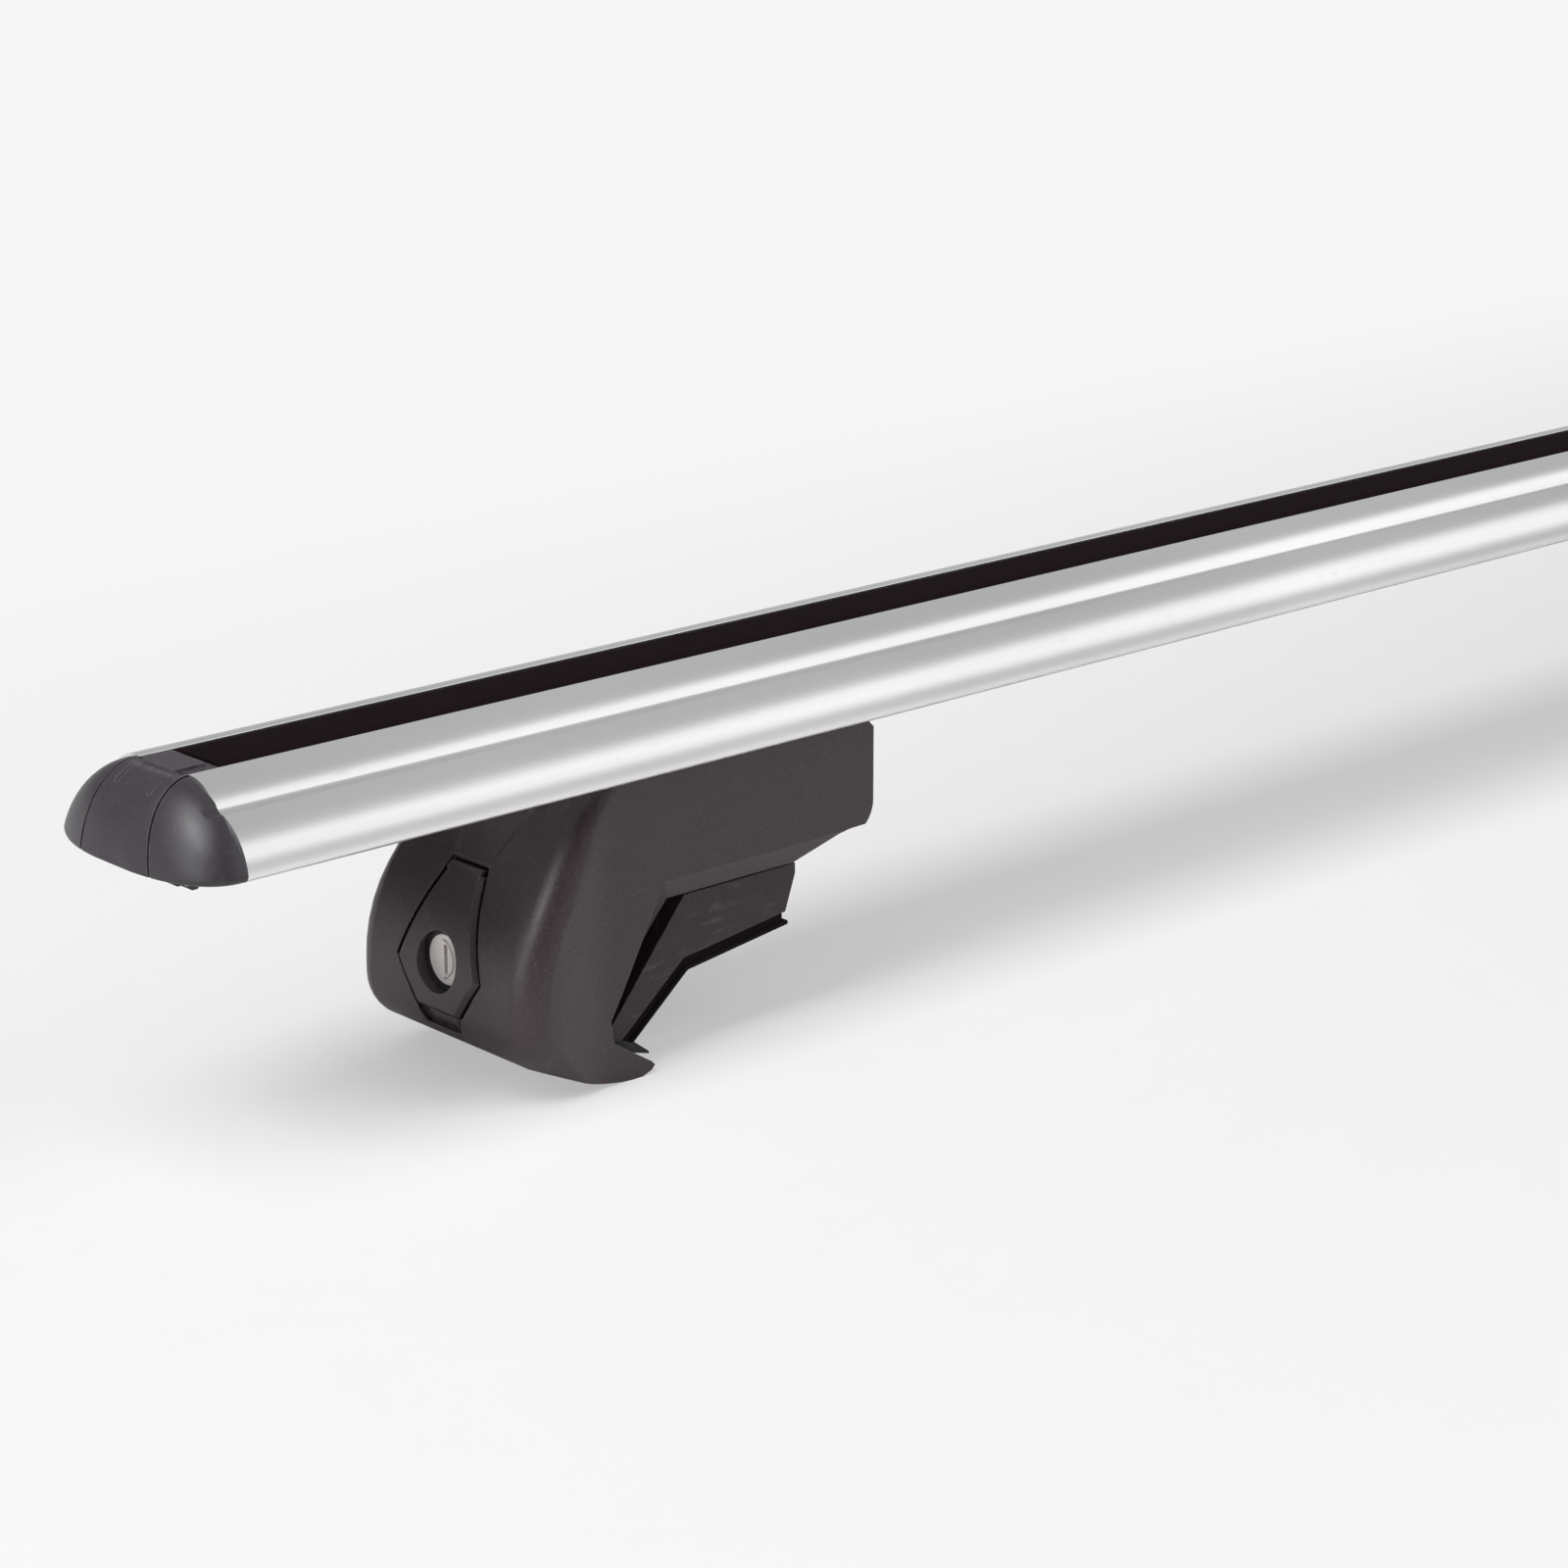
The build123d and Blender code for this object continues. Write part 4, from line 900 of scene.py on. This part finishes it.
@dataclass
class Foot:
    """One foot: its casing, lock cover, saddle, clamp and fasteners."""

    shop: Workshop
    side: Side
    skins: dict[str, tuple[str, Edge]] = field(default_factory=lambda: {
        "foot_casing": ("foot_plastic", Edge.CRISP),
        "lock_cover": ("cover_plastic", Edge.FINE),
        "saddle": ("saddle_plastic", Edge.CRISP),
        "rail_pad": ("pad_rubber", Edge.SOFT),
        "hook_plate": ("black_steel", Edge.CRISP),
    })
    slots: dict[str, str] = field(default_factory=lambda: {
        "lock_plug": "lock_metal",
        "lock_barrel": "black_steel",
        "lock_cam": "zinc_steel",
        "cover_pin": "black_steel",
        "bracket": "zinc_steel",
        "slot_bolts": "zinc_steel",
        "slot_washers": "zinc_steel",
        "slot_nuts": "zinc_steel",
        "clamp_bolt": "zinc_steel",
        "bolt_washer": "zinc_steel",
        "barrel_nut": "zinc_steel",
        "saddle_screws": "zinc_steel",
    })

    def build(self) -> None:
        """Skins the moulded pieces of the foot and dresses the rest."""
        for node, (slot, edge) in self.skins.items():
            self.shop.skin(f"{node}_{self.side.tag}", slot, edge)
        for node, slot in self.slots.items():
            self.shop.dress(frame["nodes"][f"{node}_{self.side.tag}"], slot)
            LOG.info("%s_%s dressed", node, self.side.tag)


@dataclass(frozen=True)
class SoftBox:
    """One soft box: where it stands as seen from the foot, its size in metres and its glow."""

    name: str
    way: Triple
    distance: float
    width: float
    height: float
    glow: float
    tint: Colour = (1.0, 1.0, 1.0)
    mirrored: bool = True
    aim: Triple = (-0.45, 0.0, 0.08)

    def hang(self) -> None:
        """Hangs the lamp so that it faces the left foot."""
        data = bpy.data.lights.new(self.name, "AREA")
        data.shape = "RECTANGLE"
        data.size = self.width
        data.size_y = self.height
        data.energy = self.glow * math.pi * self.width * self.height
        data.color = self.tint
        item = bpy.data.objects.new(self.name, data)
        bpy.context.scene.collection.objects.link(item)
        towards = Vector(self.way).normalized()
        item.visible_glossy = self.mirrored
        item.location = Vector(self.aim) + towards * self.distance
        item.rotation_euler = towards.to_track_quat("Z", "Y").to_euler()


@dataclass
class Studio:
    """The pale floor, the soft boxes and the camera."""

    eye: Triple = (-1.1028, -0.7973, 0.390)
    forward: Triple = (0.645, 0.706, -0.293)
    across: Triple = (0.738, -0.674, 0.0)
    lens: float = 90.0
    sensor: float = 36.0
    sight: float = 60.0
    floor_reach: float = 14.0
    fade: Point = (0.75, 1.9)
    side_fade: Point = (0.12, 0.60)
    paper_grain: float = 0.02
    paper_low: Colour = (0.88, 0.865, 0.87)
    paper_high: Colour = (0.90, 0.885, 0.89)
    white: Colour = (1.0, 0.995, 0.998)
    pale: float = 0.925
    glow: float = 0.45
    bounce: Colour = (0.40, 0.39, 0.39)
    sky: float = 0.04
    roof: float = 0.12
    backdrop: float = 0.66
    backdrop_fade: Point = (0.02, 0.25)
    wall_fade: Point = (0.1, 0.5)
    boxes: tuple[SoftBox, ...] = (
        SoftBox("left_box", (-0.94, 0.00, 0.34), 3.5, 2.0, 2.0, 3.0, (0.98, 0.99, 1.04)),
        SoftBox("high_box", (-0.67, -0.08, 0.74), 3.5, 1.4, 1.4, 10.0),
        SoftBox("top_box", (-0.35, -0.10, 0.93), 3.5, 2.0, 2.0, 4.0),
        SoftBox("front_box", (0.35, -0.62, 0.70), 3.5, 2.0, 2.0, 2.0, (1.02, 0.99, 0.98), False),
        SoftBox("front_strip", (0.62, -0.66, 0.46), 6.0, 8.0, 2.8, 0.76),
    )

    def build(self) -> None:
        """Makes the floor, the world, the lamps and the camera."""
        self.floor()
        self.world()
        for box in self.boxes:
            box.hang()
        self.camera()

    def floor(self) -> None:
        """A wide pale floor that keeps the shadow and looks even far off."""
        mesh = bpy.data.meshes.new("floor")
        wide = self.floor_reach
        corners = [(-wide, -wide, 0), (wide, -wide, 0), (wide, wide, 0), (-wide, wide, 0)]
        mesh.from_pydata(corners, [], [(0, 1, 2, 3)])
        item = bpy.data.objects.new("floor", mesh)
        bpy.context.scene.collection.objects.link(item)
        mesh.materials.append(self.paper())

    def paper(self) -> bpy.types.Material:
        """Mixes the floor's paper: matt near the object, an even pale far from it.

        Returns:
            The finished material.
        """
        paint = Paint.fresh("floor")
        place = paint.place()
        away = paint.node("ShaderNodeVectorMath", {"operation": "LENGTH"}, {0: place}, "Value")
        aside = paint.node("ShaderNodeSeparateXYZ", {}, {0: place}, "Y")
        aside = paint.node("ShaderNodeMath", {"operation": "ABSOLUTE"}, {0: aside})
        far, beside = away.above(*self.fade), aside.above(*self.side_fade)
        far = far + beside - far * beside
        seen, mirrored = self.rays(paint)
        share = seen * (self.glow + (1 - self.glow) * far) + mirrored * far
        shown = paint.blend(paint.noise(self.paper_grain, 3.0), self.paper_low, self.paper_high)
        colour = paint.blend((seen + mirrored).above(0.0, 1.0), self.bounce, shown)
        matt = paint.node("ShaderNodeBsdfDiffuse", {}, {"Color": colour})
        lit = {"Color": opaque(self.white), "Strength": self.pale}
        glow = paint.node("ShaderNodeEmission", {}, lit)
        return paint.close(paint.node("ShaderNodeMixShader", {}, {0: share, 1: matt, 2: glow}))

    @staticmethod
    def rays(paint: Paint) -> tuple[Wire, Wire]:
        """Which rays look at the backdrop.

        Args:
            paint: the tree that asks.

        Returns:
            One for rays from the camera or through glass, and one for rays from a mirror.
        """
        camera = paint.node("ShaderNodeLightPath", output="Is Camera Ray")
        glass = paint.node("ShaderNodeLightPath", output="Is Transmission Ray")
        mirror = paint.node("ShaderNodeLightPath", output="Is Glossy Ray")
        return (camera + glass).above(0.0, 1.0), mirror

    def world(self) -> None:
        """A dim room with a pale backdrop round it, which the camera sees as pale all over."""
        room = bpy.data.worlds.new("studio")
        bpy.context.scene.world = room
        paint = Paint(room)
        seen, mirrored = self.rays(paint)
        way = paint.node("ShaderNodeTexCoord", output="Generated")
        height = paint.node("ShaderNodeSeparateXYZ", {}, {0: way}, "Z")
        side = paint.node("ShaderNodeSeparateXYZ", {}, {0: way}, "X").above(*self.wall_fade)
        wall = 1 - height.above(*self.backdrop_fade)
        backdrop = self.roof + (self.backdrop - self.roof) * (wall + side - wall * side)
        light = self.sky + mirrored * (backdrop - self.sky)
        light = light + seen * (self.pale - light)
        shader = paint.node("ShaderNodeBackground", {}, {"Strength": light})
        paint.close(shader, "ShaderNodeOutputWorld")

    def camera(self) -> None:
        """The camera where the photograph was taken from."""
        data = bpy.data.cameras.new("camera")
        data.lens = self.lens
        data.sensor_width = self.sensor
        data.sensor_fit = "HORIZONTAL"
        data.clip_end = self.sight
        item = bpy.data.objects.new("camera", data)
        bpy.context.scene.collection.objects.link(item)
        back = -Vector(self.forward).normalized()
        right = Vector(self.across).normalized()
        up = back.cross(right)
        turn = Matrix((right, up, back)).transposed().to_4x4()
        item.matrix_world = Matrix.Translation(self.eye) @ turn
        bpy.context.scene.camera = item


def clear_defaults() -> None:
    """Takes away the objects that a new file starts with."""
    for name in ("Cube", "Light", "Camera"):
        item = bpy.data.objects.get(name)
        if item is not None:
            bpy.data.objects.remove(item, do_unlink=True)


def main() -> None:
    """Builds the crossbar and its studio in order."""
    logging.basicConfig(level=logging.INFO, format="%(message)s")
    clear_defaults()
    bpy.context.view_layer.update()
    bpy.context.scene.view_settings.view_transform = "Standard"
    shop = Workshop()
    Crossbar(shop).build()
    for side in Side:
        EndCap(shop, side).build()
        Foot(shop, side).build()
    Studio().build()


if __name__ == "__main__":
    main()
